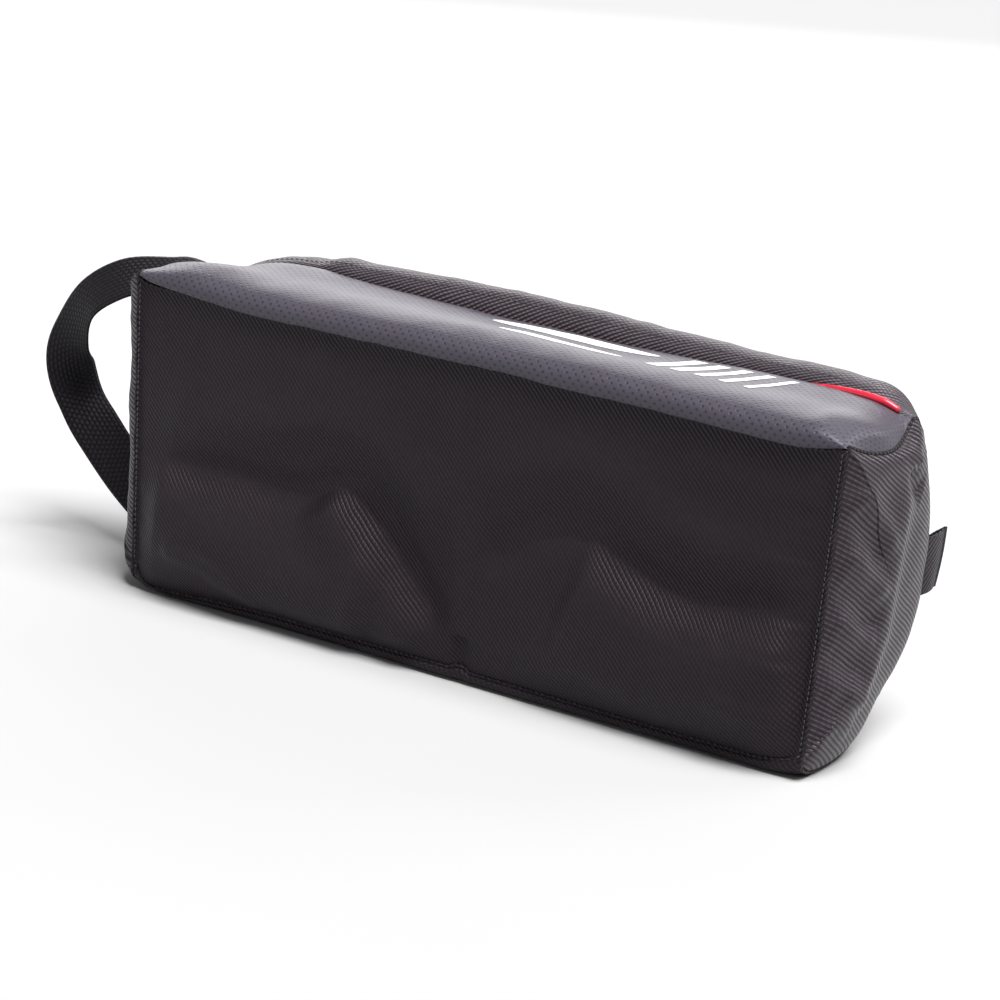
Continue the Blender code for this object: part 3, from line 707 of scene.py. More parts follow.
def base_height(X, Z):
    """How far the base panel stands out of its plane, in metres."""
    xm, zm = (X + HALF) * 1000, (Z - 0.006) * 1000
    h = np.zeros(X.shape)
    for pts, amp, up, down in BASE_FOLDS:
        h += 2.15 * amp * polyline_field(xm, zm, pts, up, down)
    lo, hi = bottom_seam_z(X), top_seam_z(X)
    dz0, dz1 = (Z - lo) * 1000, (hi - Z) * 1000
    dx0, dx1 = (X + HALF) * 1000, (HALF - X) * 1000
    edge = (1 - np.exp(-np.maximum(dz0, 0) / 5)) * (1 - np.exp(-np.maximum(dz1, 0) / 9))
    edge = edge * (1 - np.exp(-np.maximum(dx0 - 2.2, 0) / 5)) * (1 - np.exp(-np.maximum(dx1 - 4.4, 0) / 5))
    strip = 0.75 * np.exp(-(((dx1 - 1.8) / 2.0) ** 4)) + 0.65 * np.exp(-(((dx0 - 0.9) / 1.1) ** 4))
    P = np.stack([X, 0 * X, Z], -1)
    low = noise_field(P, (16, 1, 22), 3.1, 2)
    fine = noise_field(P, (60, 1, 90), 7.7, 2)
    # short puckers running out of the side seams, and drag lines under the top seam
    pr = noise_field(P, (22, 1, 150), 11.0, 2) * np.exp(-np.maximum(dx1 - 4, 0) / 13)
    pl = noise_field(P, (22, 1, 120), 5.0, 2) * np.exp(-np.maximum(dx0 - 2, 0) / 11)
    pt = noise_field(P, (95, 1, 20), 9.0, 2) * np.exp(-np.maximum(dz1, 0) / 8)
    pb = noise_field(P, (70, 1, 24), 2.0, 2) * np.exp(-np.maximum(dz0, 0) / 7)
    h = 0.2 + h + 3.2 * np.clip(dz1 / 135, 0, 1) + 0.8 * low + 0.16 * fine + 1.5 * pr + 1.3 * pl + 0.7 * pt + 0.6 * pb
    return (np.maximum(h, 0.35) * edge + strip) * 0.001


def base_point(X, Z):
    return np.stack([lean(X, Z), BASE_Y - base_height(X, Z), Z], -1)


NX, NT = 320, 126
bx = np.linspace(-HALF, HALF, NX)
bt = np.linspace(0, 1, NT)
BX = np.broadcast_to(bx[:, None], (NX, NT))
BZ = bottom_seam_z(bx)[:, None] + (top_seam_z(bx) - bottom_seam_z(bx))[:, None] * bt[None]
P = base_point(BX, BZ)
base = sheet_mesh("base_panel_cloth", P, np.stack([BX, BZ], -1), M_BASE, 0.0008, outward=(0, -1, 0))
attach(base, "bag")
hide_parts("base_panel")


# ----------------------------------------------------------------- wrapped panels


def wrap(x, controls, s):
    """Points of a lengthwise panel: x stations, profile parameter s."""
    C = controls(x)
    Q = spline(C, s)  # (n, m, 2)
    X = np.broadcast_to(x[:, None], Q.shape[:2])
    return np.stack([lean(X, Q[..., 1], Q[..., 0]), Q[..., 0], Q[..., 1]], -1)


def edge_fade(n, m, a=6, b=6):
    i = np.minimum(np.arange(m), np.arange(m)[::-1])
    f = np.clip(i / a, 0, 1)
    j = np.minimum(np.arange(n), np.arange(n)[::-1])
    g = np.clip(j / b, 0, 1)
    return np.sqrt(g)[:, None] * np.sqrt(f)[None]


# grey front wall
nx, ns = 270, 64
x = np.linspace(-HALF, HALF, nx)
s = np.linspace(0, 1, ns)
FP = wrap(x, front_controls, s)
N = grid_normals(FP)
if N[nx // 2, ns // 2, 2] < 0:
    N = -N
h = 0.00055 * noise_field(FP, (22, 26, 10), 4.2, 2) + 0.00016 * noise_field(FP, (60, 60, 30), 1.2, 2)
pucker = 0.0005 * noise_field(FP, (120, 14, 14), 8.8, 2) * np.exp(-np.arange(ns) / 9.0)[None]
FP = FP + N * ((h + pucker) * edge_fade(nx, ns))[..., None]
front = sheet_mesh("front_wall_leather", FP, arc_uv(FP), M_GREY, outward=(0, 0, 1))
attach(front, "bag")
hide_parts("front_wall")
FRONT_N = grid_normals(FP)
if FRONT_N[nx // 2, ns // 2, 2] < 0:
    FRONT_N = -FRONT_N


def on_front(xq, sq):
    """Point and normal of the grey wall at length position xq and profile parameter sq."""
    i = np.clip((np.asarray(xq) + HALF) / (2 * HALF) * (nx - 1), 0, nx - 1.001)
    j = np.clip(np.asarray(sq) * (ns - 1), 0, ns - 1.001)
    i0, j0 = i.astype(int), j.astype(int)
    fi, fj = (i - i0)[..., None], (j - j0)[..., None]

    def lerp(A):
        return (A[i0, j0] * (1 - fi) + A[i0 + 1, j0] * fi) * (1 - fj) + (A[i0, j0 + 1] * (1 - fi) + A[i0 + 1, j0 + 1] * fi) * fj

    return lerp(FP), lerp(FRONT_N)


# back wall, the rest face
nx2, ns2 = 190, 44
x2 = np.linspace(-HALF, HALF, nx2)
WP = wrap(x2, back_controls, np.linspace(0, 1, ns2))
N = grid_normals(WP)
if N[nx2 // 2, ns2 // 2, 2] > 0:
    N = -N
h = 0.0004 * noise_field(WP, (40, 40, 40), 6.1, 2) * np.exp(-((np.arange(ns2) - 5) / 5.0) ** 2)[None]
WP = WP + N * (h * edge_fade(nx2, ns2, 3))[..., None]
WP[..., 2] = np.maximum(WP[..., 2], 0.0001)
back = sheet_mesh("back_wall_cloth", WP, arc_uv(WP), M_BACK, outward=(0, 0, -1))
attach(back, "bag")
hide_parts("back_wall")


def roof_half(tag, controls, flap, material, seed, cad_ends, cad_flap):
    """One half of the roof in three pieces: its ends stay on the bag and its middle piece goes with the flap."""
    n, m = 250, 60
    xs = np.linspace(-HALF, HALF, n)
    Q = wrap(xs, controls, np.linspace(0, 1, m))
    Nn = grid_normals(Q)
    if Nn[n // 2, m // 2, 1] < 0:
        Nn = -Nn
    h = 0.0009 * noise_field(Q, (14, 30, 30), seed, 2) + 0.0005 * noise_field(Q, (60, 24, 24), seed + 3, 2)
    d_end = np.minimum(xs + HALF, HALF - xs) * 1000
    h = h + 0.0011 * noise_field(Q, (30, 120, 120), seed + 5, 2) * np.exp(-d_end / 14)[:, None]
    # the folded edge along the zip stands a little proud, with a shallow line where it is topstitched
    q = (1 - np.linspace(0, 1, m)) * 110
    h = h + (0.0004 * np.exp(-((q - 1.2) / 1.4) ** 2) - 0.0003 * np.exp(-((q - 3.4) / 0.9) ** 2))[None]
    Q = Q + Nn * (h * edge_fade(n, m, 3, 4))[..., None]
    Nn = grid_normals(Q)
    if Nn[n // 2, m // 2, 1] < 0:
        Nn = -Nn
    uv = arc_uv(Q)
    a = int(np.argmin(abs(xs + 0.085)))
    b = int(np.argmin(abs(xs - 0.075)))
    out = []
    for part, lo, hi in (("left", 0, a), ("middle", a, b), ("right", b, n - 1)):
        sl = slice(lo, hi + 1)
        flip = np.array([0, 1, 0]) if Nn[n // 2, m // 2, 1] > 0 else None
        N0 = grid_normals(Q)
        sign = 1 if np.sum(N0[n // 2, m // 2] * Nn[n // 2, m // 2]) > 0 else -1
        P_, N_, U_ = Q[sl], Nn[sl], uv[sl]
        k = (hi - lo + 1) * m
        V = np.concatenate([P_.reshape(-1, 3), (P_ - N_ * LINING).reshape(-1, 3)])
        UV = np.concatenate([U_.reshape(-1, 2)] * 2)
        NN = np.concatenate([N_.reshape(-1, 3), -N_.reshape(-1, 3)])
        nn = hi - lo + 1
        faces = [grid_faces(nn, m, sign < 0), grid_faces(nn, m, sign > 0, k)]
        rim = []
        edges = [([i * m for i in range(nn)], False), ([i * m + m - 1 for i in range(nn)], True)]
        if part == "left":
            edges.append(([j for j in range(m)], True))
        if part == "right":
            edges.append(([(nn - 1) * m + j for j in range(m)], False))
        for line, rev in edges:
            for p, q2 in zip(line, line[1:]):
                f = (p, p + k, q2 + k, q2)
                rim.append(f[::-1] if rev != (sign < 0) else f)
        faces.append(np.array(rim))
        ob = new_mesh(f"roof_{tag}_{part}_cloth", V, np.concatenate(faces), UV, material, NN)
        out.append(ob)
    left, middle, right = out
    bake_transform(left)
    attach(middle, flap)
    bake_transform(right)
    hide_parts(cad_ends[0])
    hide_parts(cad_ends[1])
    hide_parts(cad_flap)
    # topstitching along the zip edge
    row = int(round((m - 1) * (1 - 3.4 / 110)))
    for part, lo, hi in (("left", 0, a), ("middle", a, b), ("right", b, n - 1)):
        st = stitches_along(f"roof_{tag}_{part}_stitch", Q[lo:hi + 1, row], Nn[lo:hi + 1, row], M_THREAD_DARK)
        if part == "left":
            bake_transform(st)
        elif part == "right":
            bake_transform(st)
        else:
            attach(st, flap)
    return Q, Nn, xs


RF = roof_half("front", roof_front_controls, "roof_front", M_ROOF, 12.3,
               ("roof_end_left_front", "roof_end_right_front"), "roof_flap_front")
RB = roof_half("back", roof_back_controls, "roof_back", M_BACK, 21.9,
               ("roof_end_left_back", "roof_end_right_back"), "roof_flap_back")

Q_, N_, xs_q = RF
a_ = int(np.argmin(abs(xs_q + 0.166)))
b_ = int(np.argmin(abs(xs_q + 0.088)))
c_ = int(np.argmin(abs(xs_q - 0.155)))
for tag_, lo_, hi_ in (("left", a_, b_), ("middle", b_, int(np.argmin(abs(xs_q - 0.072)))), ("right", int(np.argmin(abs(xs_q - 0.078))), c_)):
    row_ = 10
    st = stitches_along(f"roof_seam_stitch_{tag_}", Q_[lo_:hi_ + 1, row_], N_[lo_:hi_ + 1, row_], M_THREAD, 0.0030, 0.0021, 0.00024)
    if tag_ == "middle":
        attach(st, "roof_front")
    else:
        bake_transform(st)

# ----------------------------------------------------------------- end panels


def end_outline(x0, count=260):
    """The closed outline of an end, from the base's top corner over the roof, evenly spaced."""
    xs = np.array([x0])
    fine = np.linspace(0, 1, 60)
    fr = spline(front_controls(xs), fine)[0]
    rf = spline(roof_front_controls(xs), fine)[0]
    rb = spline(roof_back_controls(xs), fine)[0]
    bk = spline(back_controls(xs), fine)[0]
    zt, zb = rf[-1], rb[-1]
    line = np.concatenate([fr, rf[1:], (zt + (zb - zt) * np.linspace(0, 1, 8)[1:-1, None]), rb[::-1], bk[::-1][1:]])
    z0, z1 = bk[0], fr[0]
    line = np.concatenate([line, z0 + (z1 - z0) * np.linspace(0, 1, 70)[1:, None]])
    seg = np.concatenate([[0], np.cumsum(np.linalg.norm(np.diff(line, axis=0), axis=1))])
    t = np.linspace(0, seg[-1], count, endpoint=False)
    return np.stack([np.interp(t, seg, line[:, k]) for k in range(2)], -1)


def end_bulge(Y, Z, edge, sign):
    """How far an end panel stands out from its seams; edge is the distance to the seam."""
    e = np.maximum(edge, 0) * 1000
    ym, zm = (Y - BASE_Y) * 1000, Z * 1000
    if sign > 0:
        full = 7.5 * (1 - np.exp(-e / 7)) + 2.2 * (1 - np.exp(-e / 24))
        folds = [
            ([(47, 146), (46, 118), (45, 90), (43, 62), (34, 42), (20, 30), (8, 28)], 1.7, 9, 11),
            ([(0, 136), (14, 132), (30, 118), (42, 100)], 1.1, 4.5, 5),
            ([(0, 124), (10, 122), (22, 112), (34, 98)], -0.9, 4, 4),
            ([(0, 107), (12, 104), (28, 92), (40, 80)], 1.2, 4.5, 6),
            ([(0, 92), (12, 86), (26, 74), (40, 66)], -1.1, 6, 5),
            ([(0, 76), (10, 74), (24, 66), (36, 60)], 1.0, 4, 4),
            ([(0, 62), (12, 57), (26, 48), (34, 40)], -1.1, 6, 5),
            ([(0, 44), (12, 44), (24, 36), (38, 30)], 1.0, 4.5, 5),
            ([(0, 24), (14, 26), (30, 20)], 0.8, 4, 5),
            ([(52, 140), (60, 128), (70, 122)], -1.4, 6, 5),
            ([(38, 152), (50, 148), (62, 136)], 1.6, 5, 5),
        ]
    else:
        full = 10.5 * (1 - np.exp(-e / 3.4)) + 1.0 * (1 - np.exp(-e / 24))
        folds = [
            ([(0, 140), (16, 130), (40, 122), (70, 118)], 1.2, 6, 6),
            ([(0, 118), (18, 112), (44, 96), (70, 88)], -1.2, 7, 6),
            ([(0, 96), (14, 90), (40, 84), (80, 84)], 1.2, 6, 6),
            ([(0, 70), (20, 66), (50, 60), (84, 58)], -1.2, 7, 7),
            ([(0, 44), (20, 44), (50, 36), (76, 38)], 1.2, 7, 6),
            ([(0, 22), (20, 22), (40, 16)], 0.8, 5, 5),
        ]
    h = full
    for pts, amp, up, down in folds:
        h = h + (2.0 if sign > 0 else 1.2) * amp * polyline_field(ym, zm, pts, up, down, 0.2) * (1 - np.exp(-e / 2.5))
    P_ = np.stack([0 * Y + sign, Y, Z], -1)
    h = h + (0.7 * noise_field(P_, (1, 26, 30), 3.3 * sign, 2) + 0.9 * noise_field(P_, (1, 40, 120), 5.1 * sign, 2) * np.exp(-ym / 12)) * (1 - np.exp(-e / 3.0))
    return h * 0.001


def end_panel(name, sign, material, cad):
    O = end_outline(sign * HALF)
    c = np.array([0.014, 0.082])
    rho = np.concatenate([np.linspace(0, 0.12, 7)[:-1], np.linspace(0.12, 0.985, 36)])
    G = O[:, None] * (1 - rho)[None, :, None] + c * rho[None, :, None]
    # distance to the outline
    flat = G.reshape(-1, 2)
    d = np.full(len(flat), 1e9)
    for i in range(len(O)):
        a, b = O[i], O[(i + 1) % len(O)]
        ab = b - a
        t = np.clip(((flat - a) @ ab) / max(ab @ ab, 1e-12), 0, 1)
        d = np.minimum(d, np.linalg.norm(flat - a - t[:, None] * ab, axis=1))
    d = d.reshape(G.shape[:2])
    for _ in range(110):  # soften the ridge where two seams are equally near
        mid_ = (np.roll(d, 1, 0) + 2 * d + np.roll(d, -1, 0)) / 4
        mid_[:, 1:-1] = (mid_[:, :-2] + 2 * mid_[:, 1:-1] + mid_[:, 2:]) / 4
        mid_[:, 0] = d[:, 0]
        d = mid_
    Y, Z = G[..., 0], G[..., 1]
    B = end_bulge(Y, Z, d, sign)
    X = lean(sign * HALF, Z, Y) + sign * B
    Pn = np.stack([X, Y, Z], -1)
    n, m = Pn.shape[:2]
    # inner face too, so that the bag looks lined when it is open
    centre = Pn[:, -1].mean(0)
    V = np.concatenate([Pn.reshape(-1, 3), [centre]])
    F = list(map(tuple, grid_faces(n, m, sign > 0, 0, wrap=True)))
    for i in range(n):
        a, b = i * m + m - 1, ((i + 1) % n) * m + m - 1
        F.append((a, b, n * m) if sign < 0 else (b, a, n * m))
    me_uv = np.concatenate([np.stack([Y * 1.0, Z], -1).reshape(-1, 2), [[centre[1], centre[2]]]])
    ob = new_mesh(name, V, F, me_uv, material)
    me = ob.data
    # faces look outwards
    if me.polygons[(n // 2) * (m - 1)].normal.x * sign < 0:
        me.flip_normals()
    mod = ob.modifiers.new("lining", "SOLIDIFY")
    mod.thickness = LINING
    mod.offset = -1
    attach(ob, "bag")
    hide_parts(cad)
    return O


OUT_R = end_panel("end_panel_right_cloth", 1, M_END, "end_panel_right")
OUT_L = end_panel("end_panel_left_cloth", -1, M_END_L, "end_panel_left")

# ----------------------------------------------------------------- welts and topstitching at the seams


def seam_line(sign, z, y=BASE_Y):
    return np.stack([lean(sign * HALF, z), y + 0 * z, z], -1)


for sign, tag in ((1, "right"), (-1, "left")):
    z = np.linspace(float(bottom_seam_z(sign * HALF)) + 0.0003, float(top_seam_z(sign * HALF)) - 0.0003, 120)
    path = seam_line(sign, z, BASE_Y - 0.0004)
    path[:, 0] += sign * 0.0002 + 0.00025 * np.sin(z * 310)
    welt = tube(f"welt_{tag}", path, 0.0009, M_WELT, 10)
    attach(welt, "bag")
    inset = 0.0011 if sign > 0 else 0.0009
    xs_ = np.full(len(z), sign * (HALF - inset))
    q = base_point(xs_, np.clip(z, bottom_seam_z(xs_) + 0.001, top_seam_z(xs_) - 0.001))
    q[:, 1] -= 0.0001
    st = stitches_along(f"topstitch_{tag}", q, (0, -1, 0), M_THREAD, 0.0027, 0.0019, 0.00026)
    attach(st, "bag")
    # the seam that joins the end to the roof, front wall and back wall
    O = OUT_R if sign > 0 else OUT_L
    ring = np.stack([lean(sign * HALF, O[:, 1], O[:, 0]) + sign * 0.0001, O[:, 0], O[:, 1]], -1)
    keep = ring[: int(len(ring) * 0.995)]
    r = tube(f"end_seam_{tag}", ring, 0.00085, M_WELT, 8, closed=True)
    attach(r, "bag")

# the base's bottom and top seams
xs_ = np.linspace(-HALF + 0.001, HALF - 0.001, 240)
zb_ = bottom_seam_z(xs_)
path = np.stack([lean(xs_, zb_), 0 * xs_ + BASE_Y - 0.0002, zb_], -1)
w = tube("welt_bottom", path, 0.0010, M_WELT, 8)
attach(w, "bag")
zt_ = top_seam_z(xs_)
path = np.stack([lean(xs_, zt_), 0 * xs_ + BASE_Y + 0.0003, zt_ + 0.0001], -1)
w = tube("welt_top", path, 0.0007, M_WELT, 8)
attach(w, "bag")

# ----------------------------------------------------------------- red piping

xs_ = np.linspace(-HALF + 0.002, HALF - 0.0062, 260)
C0 = roof_front_controls(xs_)[:, 0]
wide = np.clip((xs_ - 0.128) / 0.044, 0, 1)
wide = wide * wide * (3 - 2 * wide) * np.sqrt(np.clip((HALF - 0.0052 - xs_) / 0.008, 0, 1))
rad = 0.0009 + 0.0011 * wide
path = np.stack([lean(xs_, C0[:, 1]), C0[:, 0] - 0.0004, C0[:, 1] + 0.0002 + 0.0031 * wide], -1)
pipe = tube("piping_cord", path, rad, M_RED, 14)
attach(pipe, "bag")
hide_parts("piping_front")

# ----------------------------------------------------------------- printed stripes on the grey wall


def printed(name, outline_fn, n=60, m=5):
    """A thin printed patch on the grey wall: outline_fn(u) gives x and the profile range at that x."""
    us = np.linspace(0, 1, n)
    rows = []
    for u in us:
        x0, sa, sb, skew = outline_fn(u)
        ss = np.linspace(sa, sb, m)
        xx = x0 + skew * (ss - 0.5 * (sa + sb))
        Pq, Nq = on_front(xx, ss)
        rows.append(Pq + Nq * 0.00022)
    G = np.array(rows)
    return sheet_mesh(name, G, G[..., :2], M_PRINT, 0.00015, outward=(0, 0, 1))


def long_stripe(u):
    x0 = -0.018 + 0.090 * u
    t = math.sin(math.pi * min(1.0, 0.04 + u * 0.98)) ** 0.6
    return x0, 0.800 - 0.030 * t, 0.800 + 0.030 * t, 0.12


def short_stripe(u):
    x0 = -0.004 + 0.066 * u
    t = math.sin(math.pi * min(1.0, 0.04 + u * 0.98)) ** 0.6
    return x0, 0.690 - 0.020 * t, 0.690 + 0.020 * t, 0.12


pieces = [printed("print_stripe_long", long_stripe), printed("print_stripe_short", short_stripe)]
for k in range(5):
    x0 = 0.080 + 0.0125 * k
    wide = 0.0068 - 0.0009 * k

    def bar(u, x0=x0, wide=wide):
        return x0 + wide * u, 0.670, 0.830, 0.07

    pieces.append(printed(f"print_bar_{k + 1}", bar, 6, 12))
for p in pieces:
    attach(p, "bag")

# ----------------------------------------------------------------- handle


def ribbon(name, C, W, width, thick, material, n=200, m=14):
    """A flat strap through centre points C with width directions W."""
    C, W = np.array(C, float), np.array(W, float)
    t = np.linspace(0, 1, n)
    c = spline(C, t)
    w = spline(W, t)
    seg = np.concatenate([[0], np.cumsum(np.linalg.norm(np.diff(c, axis=0), axis=1))])
    even = np.linspace(0, seg[-1], n)
    c = np.stack([np.interp(even, seg, c[:, k]) for k in range(3)], -1)
    w = np.stack([np.interp(even, seg, w[:, k]) for k in range(3)], -1)
    T = np.gradient(c, axis=0)
    T /= np.linalg.norm(T, axis=1, keepdims=True)
    w -= T * np.sum(w * T, 1, keepdims=True)
    w /= np.linalg.norm(w, axis=1, keepdims=True)
    b = np.cross(T, w)
    # cross-section: a flat strap with rounded selvedges
    prof = []
    for a in np.linspace(-0.5, 0.5, m):
        prof.append((a, 0.5))
    for a in np.linspace(0.5, -0.5, m):
        prof.append((a, -0.5))
    V, UV = [], []
    for i in range(n):
        for a, side in prof:
            edge = min(1.0, (0.5 - abs(a)) / 0.035)
            th = thick * (0.35 + 0.65 * math.sqrt(max(0.0, 1 - (1 - edge) ** 2)))
            V.append(c[i] + w[i] * a * width + b[i] * side * th)
            UV.append((even[i], (a + 0.5) * width))
    k = len(prof)
    F = []
    for i in range(n - 1):
        for j in range(k):
            F.append((i * k + j, i * k + (j + 1) % k, (i + 1) * k + (j + 1) % k, (i + 1) * k + j))
    F.append(tuple(reversed(range(k))))
    F.append(tuple(range((n - 1) * k, n * k)))
    ob = new_mesh(name, V, F, UV, material)
    if ob.data.polygons[0].normal.dot(Vector(b[0])) < 0:
        ob.data.flip_normals()
    return ob, c, w, b


HANDLE = [
    ((-0.1880, 0.0290, 0.1455), (-0.15, 0.98, 0.00)),
    ((-0.1985, 0.0268, 0.1483), (-0.30, 0.92, 0.22)),
    ((-0.2060, 0.0235, 0.1494), (-0.38, 0.86, 0.34)),
    ((-0.2140, 0.0191, 0.1476), (-0.41, 0.80, 0.43)),
    ((-0.2357, 0.0111, 0.1413), (-0.47, 0.61, 0.64)),
    ((-0.2546, 0.0084, 0.1277), (-0.65, 0.48, 0.59)),
    ((-0.2664, 0.0125, 0.1073), (-0.90, 0.11, 0.41)),
    ((-0.2729, 0.0201, 0.0873), (-0.82, -0.56, -0.08)),
    ((-0.2691, 0.0263, 0.0670), (-0.41, -0.84, -0.36)),
    ((-0.2531, 0.0252, 0.0504), (-0.57, -0.53, -0.63)),
    ((-0.2336, 0.0221, 0.0357), (-0.53, -0.50, -0.69)),
    ((-0.2131, 0.0208, 0.0222), (-0.49, -0.49, -0.73)),
    ((-0.1940, 0.0203, 0.0108), (-0.47, -0.48, -0.74)),
    ((-0.1880, 0.0205, 0.0115), (-0.50, -0.52, -0.69)),
]
strap, SC, SW, SB = ribbon("handle_strap", [p for p, _ in HANDLE], [w for _, w in HANDLE], 0.0250, 0.0016, M_WEB)
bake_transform(strap)
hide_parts("handle_webbing", "handle_end_top", "handle_end_bottom")

# ----------------------------------------------------------------- tab

TAB_X, TAB_ROOT, TAB_REACH = 0.1925, 0.0640, 0.0218
tab_path = []
for a in np.linspace(0, 1, 44):
    # out along the layer on the end's side, round the fold, back along the other layer
    if a < 0.43:
        t = a / 0.43
        tab_path.append((TAB_X + 0.0006 + 0.0012 * math.sin(math.pi * min(1, t * 1.1)) ** 0.8, TAB_ROOT + (TAB_REACH - 0.0012) * t))
    elif a < 0.57:
        ang = -math.pi / 2 + math.pi * (a - 0.43) / 0.14
        tab_path.append((TAB_X + 0.0001 - 0.0009 * math.sin(ang), TAB_ROOT + TAB_REACH - 0.0012 + 0.0011 * math.cos(ang)))
    else:
        t = 1 - (a - 0.57) / 0.43
        tab_path.append((TAB_X - 0.0006 - 0.0005 * math.sin(math.pi * t), TAB_ROOT + (TAB_REACH - 0.0012) * t))
tab_path = np.array(tab_path)
zz = np.linspace(0.0662, 0.0938, 20)
lift = (zz - zz[0]) / (zz[-1] - zz[0])
TP = np.stack([
    np.stack([
        px_ + 0.0006 * np.sin(lift * math.pi) * (py_ - TAB_ROOT) / TAB_REACH,
        TAB_ROOT + (py_ - TAB_ROOT) * (0.72 + 0.28 * lift),
        zz + 0.0008 * (py_ - TAB_ROOT) / TAB_REACH,
    ], -1)
    for px_, py_ in tab_path
])
dl = np.concatenate([[0], np.cumsum(np.linalg.norm(np.diff(tab_path, axis=0), axis=1))])
tab_uv = np.stack([np.broadcast_to(dl[:, None], TP.shape[:2]), TP[..., 2]], -1)
tab = sheet_mesh("tab_loop", TP, tab_uv, M_TAB, 0.0007)
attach(tab, "tab")
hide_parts("zip_end_tab")

# ----------------------------------------------------------------- zip tapes and coils


def zip_side(tag, sign, flap):
    """One side's tape and coil: the ends stay on the bag and the middle goes with the roof's flap."""
    spans = (("left", -0.187, -0.085), ("middle", -0.085, 0.075), ("right", 0.075, 0.187))
    for part, lo, hi in spans:
        n = max(8, int((hi - lo) / 0.004))
        xs = np.linspace(lo, hi, n)
        offs = np.linspace(0.0016 if tag == "front" else 0.0016, 0.0135, 8)
        if part != "middle":
            xs = np.sort(np.concatenate([xs, [-0.181, -0.179, 0.1655, 0.1675][slice(0, 2) if part == "left" else slice(2, 4)]]))
        G = np.array([[(x_, 0.0652, ZIP_Z + sign * (o if -0.18 < x_ < 0.1665 or o > 0.002 else 0.0002)) for o in offs] for x_ in xs])
        uvs = np.stack([G[..., 0], G[..., 2]], -1)
        tape = sheet_mesh(f"zip_tape_{tag}_{part}", G, uvs, M_TAPE, 0.0008, outward=(0, 1, 0))
        teeth = []
        t0, t1 = max(lo, -0.1645), min(hi, 0.1490)
        k = t0
        while k < t1:
            z_in, z_out = ZIP_Z - sign * 0.0003, ZIP_Z + sign * 0.0030
            off = 0.0008 if sign > 0 else 0.0
            teeth.append([(k + off, 0.0652, z_out), (k + off, 0.0664, z_out - sign * 0.0006), (k + off + 0.0001, 0.0667, ZIP_Z + sign * 0.0010), (k + off + 0.0002, 0.0662, z_in), (k + off, 0.0656, z_in + sign * 0.0004)])
            k += 0.0016
        coil = capsules(f"zip_coil_{tag}_{part}", teeth, 0.00042, M_COIL, 6)
        for ob in (tape, coil):
            if part == "left":
                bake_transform(ob)
            elif part == "right":
                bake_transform(ob)
            else:
                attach(ob, flap)
        if part == "middle":
            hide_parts(f"zip_tape_{tag}")
            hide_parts(f"zip_coil_{tag}")
        elif tag == "front":
            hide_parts(f"zip_tape_end_{part}")


zip_side("front", 1, "roof_front")
zip_side("back", -1, "roof_back")

# ----------------------------------------------------------------- seam bindings inside

for sign, tag in ((-1, "left"), (1, "right")):
    O = OUT_L if sign < 0 else OUT_R
    c = np.array([0.014, 0.082])
    rows = []
    for w_ in np.linspace(0, 1, 5):
        xx = sign * (HALF - 0.0015 - 0.0070 * w_)
        inner = c + (O - c) * (1 - 0.0035 / np.linalg.norm(O - c, axis=1, keepdims=True))
        rows.append(np.stack([lean(xx + 0 * inner[:, 1], inner[:, 1]), inner[:, 0], inner[:, 1]], -1))
    G = np.array(rows).transpose(1, 0, 2)
    G = np.concatenate([G, G[:1]])
    L = np.concatenate([[0], np.cumsum(np.linalg.norm(np.diff(G[:, 0], axis=0), axis=1))])
    uvs = np.stack([np.broadcast_to(L[:, None], G.shape[:2]), np.broadcast_to(np.linspace(0, 0.007, 5)[None], G.shape[:2])], -1)
    b_ = sheet_mesh(f"binding_{tag}_tape", G, uvs, M_BIND, 0.0009)
    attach(b_, "bag")
    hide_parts(f"seam_binding_{tag}")

for tag, fn in (("front", front_controls), ("back", back_controls)):
    xs = np.linspace(-0.176, 0.176, 120)
    Q = spline(fn(xs), np.array([0.10, 0.16, 0.24, 0.32]))
    up = -1 if tag == "front" else 1
    G = np.stack([np.broadcast_to(xs[:, None], Q.shape[:2]), Q[..., 0] + 0.0032, Q[..., 1] + up * 0.0034], -1)
    G[..., 1] = np.maximum(G[..., 1], -0.0262)
    uvs = np.stack([G[..., 0], G[..., 1]], -1)
    b_ = sheet_mesh(f"binding_base_{tag}_tape", G, uvs, M_BIND, 0.0009)
    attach(b_, "bag")
    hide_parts(f"seam_binding_base_{tag}")

# ----------------------------------------------------------------- carried-over CAD pieces


def dress(node, material, bevel=0.0):
    ob = nodes[node]
    ob.data.materials.clear()
    ob.data.materials.append(material)
    if bevel:
        b_ = ob.modifiers.new("soft_edges", "BEVEL")
        b_.width = bevel
        b_.segments = 3
        b_.limit_method = "ANGLE"
        b_.angle_limit = math.radians(35)


dress("base_board", M_BOARD, 0.0006)
dress("zip_slider", M_METAL, 0.0003)
dress("zip_pull", M_METAL, 0.0002)
dress("pull_grip", M_GRIP, 0.0004)
dress("zip_stop_left", M_METAL, 0.0002)
dress("zip_stop_right", M_METAL, 0.0002)

# ----------------------------------------------------------------- floor, light and camera

floor_me = bpy.data.meshes.new("floor")
S = 14.0
floor_me.from_pydata([(-S, -S, 0), (S, -S, 0), (S, S, 0), (-S, S, 0)], [], [(0, 1, 2, 3)])
floor = bpy.data.objects.new("floor", floor_me)
bpy.context.scene.collection.objects.link(floor)
floor.location = (0, 0, -0.0004)
kf = Nodes("floor_white")
fn_ = kf.noise(kf.obj(), 3.0, 2.0)
floor_me.materials.append(kf.finish(kf.mix(fn_, (0.43, 0.43, 0.43), (0.44, 0.44, 0.44)), 0.95, specular=0.0))

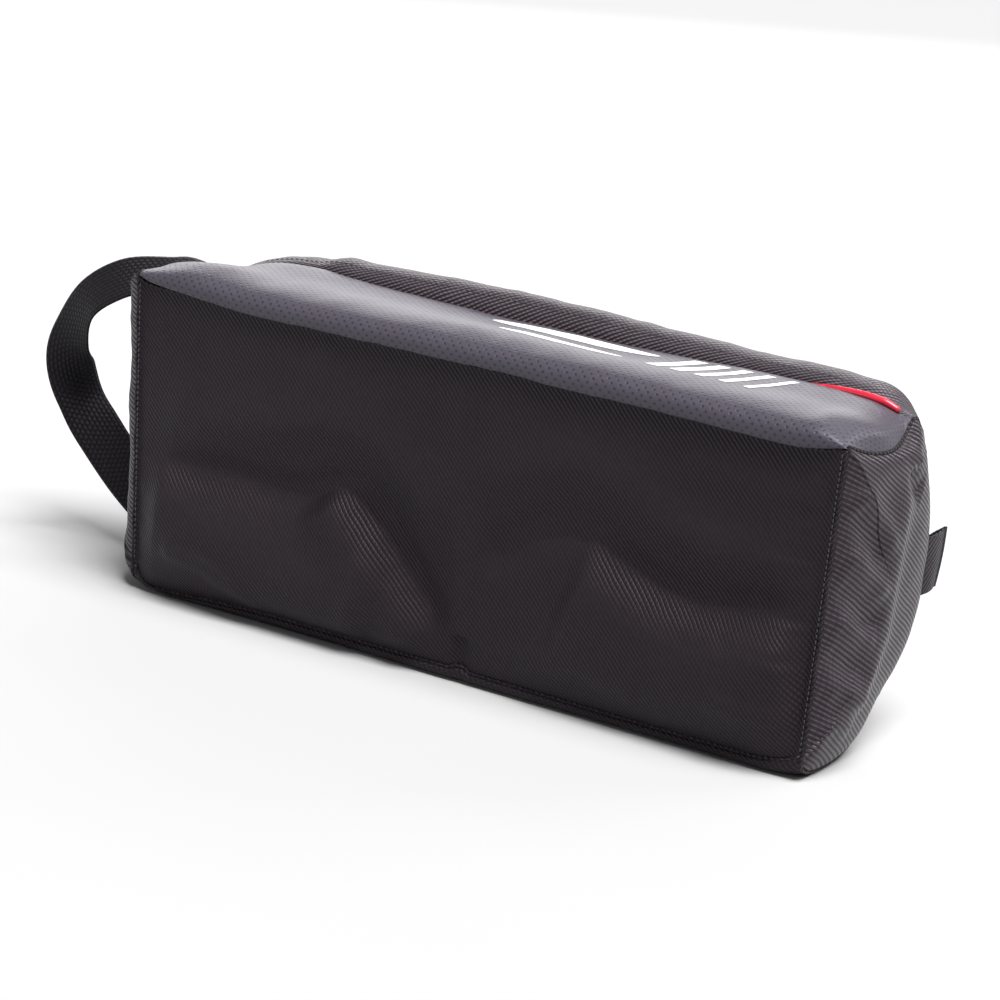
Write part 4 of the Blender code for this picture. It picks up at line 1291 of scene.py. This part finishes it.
world = bpy.data.worlds.new("studio")
bpy.context.scene.world = world
world.use_nodes = True
wt = world.node_tree
bg = wt.nodes["Background"]
bg.inputs[0].default_value = (1, 1, 1, 1)
bg.inputs[1].default_value = 0.14
bg2 = wt.nodes.new("ShaderNodeBackground")
bg2.inputs[0].default_value = (1, 1, 1, 1)
bg2.inputs[1].default_value = 1.05
lp = wt.nodes.new("ShaderNodeLightPath")
mx = wt.nodes.new("ShaderNodeMixShader")
wt.links.new(lp.outputs["Is Camera Ray"], mx.inputs[0])
wt.links.new(bg.outputs[0], mx.inputs[1])
wt.links.new(bg2.outputs[0], mx.inputs[2])
wt.links.new(mx.outputs[0], wt.nodes["World Output"].inputs[0])


def area(name, at, target, power, size, size_y=None):
    L = bpy.data.lights.new(name, "AREA")
    L.energy = power
    L.size = size
    if size_y:
        L.shape = "RECTANGLE"
        L.size_y = size_y
    ob = bpy.data.objects.new(name, L)
    bpy.context.scene.collection.objects.link(ob)
    ob.location = at
    ob.rotation_euler = (Vector(target) - Vector(at)).to_track_quat("-Z", "Y").to_euler()
    return ob


sun = bpy.data.lights.new("key_above", "SUN")
sun.energy = 6.4
sun.angle = math.radians(34)
sun_ob = bpy.data.objects.new("key_above", sun)
bpy.context.scene.collection.objects.link(sun_ob)
sun_ob.location = (0.7, -0.5, 2.0)
sun_ob.rotation_euler = Vector((0.36, -0.13, 1.0)).to_track_quat("Z", "Y").to_euler()
area("soft_right", (1.20, -0.10, 1.00), (0.1, 0.0, 0.08), 2.0, 0.8, 0.6)
area("glint_right", (0.95, 1.20, 0.80), (0.15, 0.0, 0.08), 7.0, 0.7, 0.5)
area("glint_front", (-0.80, -1.30, 0.60), (0.0, 0.0, 0.08), 3.0, 0.7, 0.35)
area("back_panel", (-0.95, 1.50, 0.62), (0.0, 0.0, 0.10), 13.0, 1.5, 0.6)
area("soft_back", (0.1, 1.2, 1.3), (0.0, 0.0, 0.08), 4.0, 1.2, 0.9)

# the camera stands to the right of the base, a little above it
F_PX = 3600.08
th, ph, roll = 0.54052, 0.29835, 0.081123
cx, cy, dist = -0.0035134, -0.0059134, 1.7058008
back_v = Vector((math.sin(th) * math.cos(ph), -math.cos(th) * math.cos(ph), math.sin(ph)))
right0 = Vector((math.cos(th), math.sin(th), 0))
up0 = back_v.cross(right0)
right_v = right0 * math.cos(roll) + up0 * math.sin(roll)
up_v = up0 * math.cos(roll) - right0 * math.sin(roll)
loc = Vector((0.0, 0.009, 0.086)) + back_v * dist + right_v * cx + up_v * cy
cam_data = bpy.data.cameras.new("camera")
cam_data.sensor_width = 36.0
cam_data.lens = 36.0 * F_PX / 1000.0
cam = bpy.data.objects.new("camera", cam_data)
bpy.context.scene.collection.objects.link(cam)
cam.matrix_world = Matrix.Translation(loc) @ Matrix((right_v, up_v, back_v)).transposed().to_4x4()
bpy.context.scene.camera = cam
bpy.context.scene.view_settings.view_transform = "Standard"
bpy.context.scene.view_settings.look = "None"
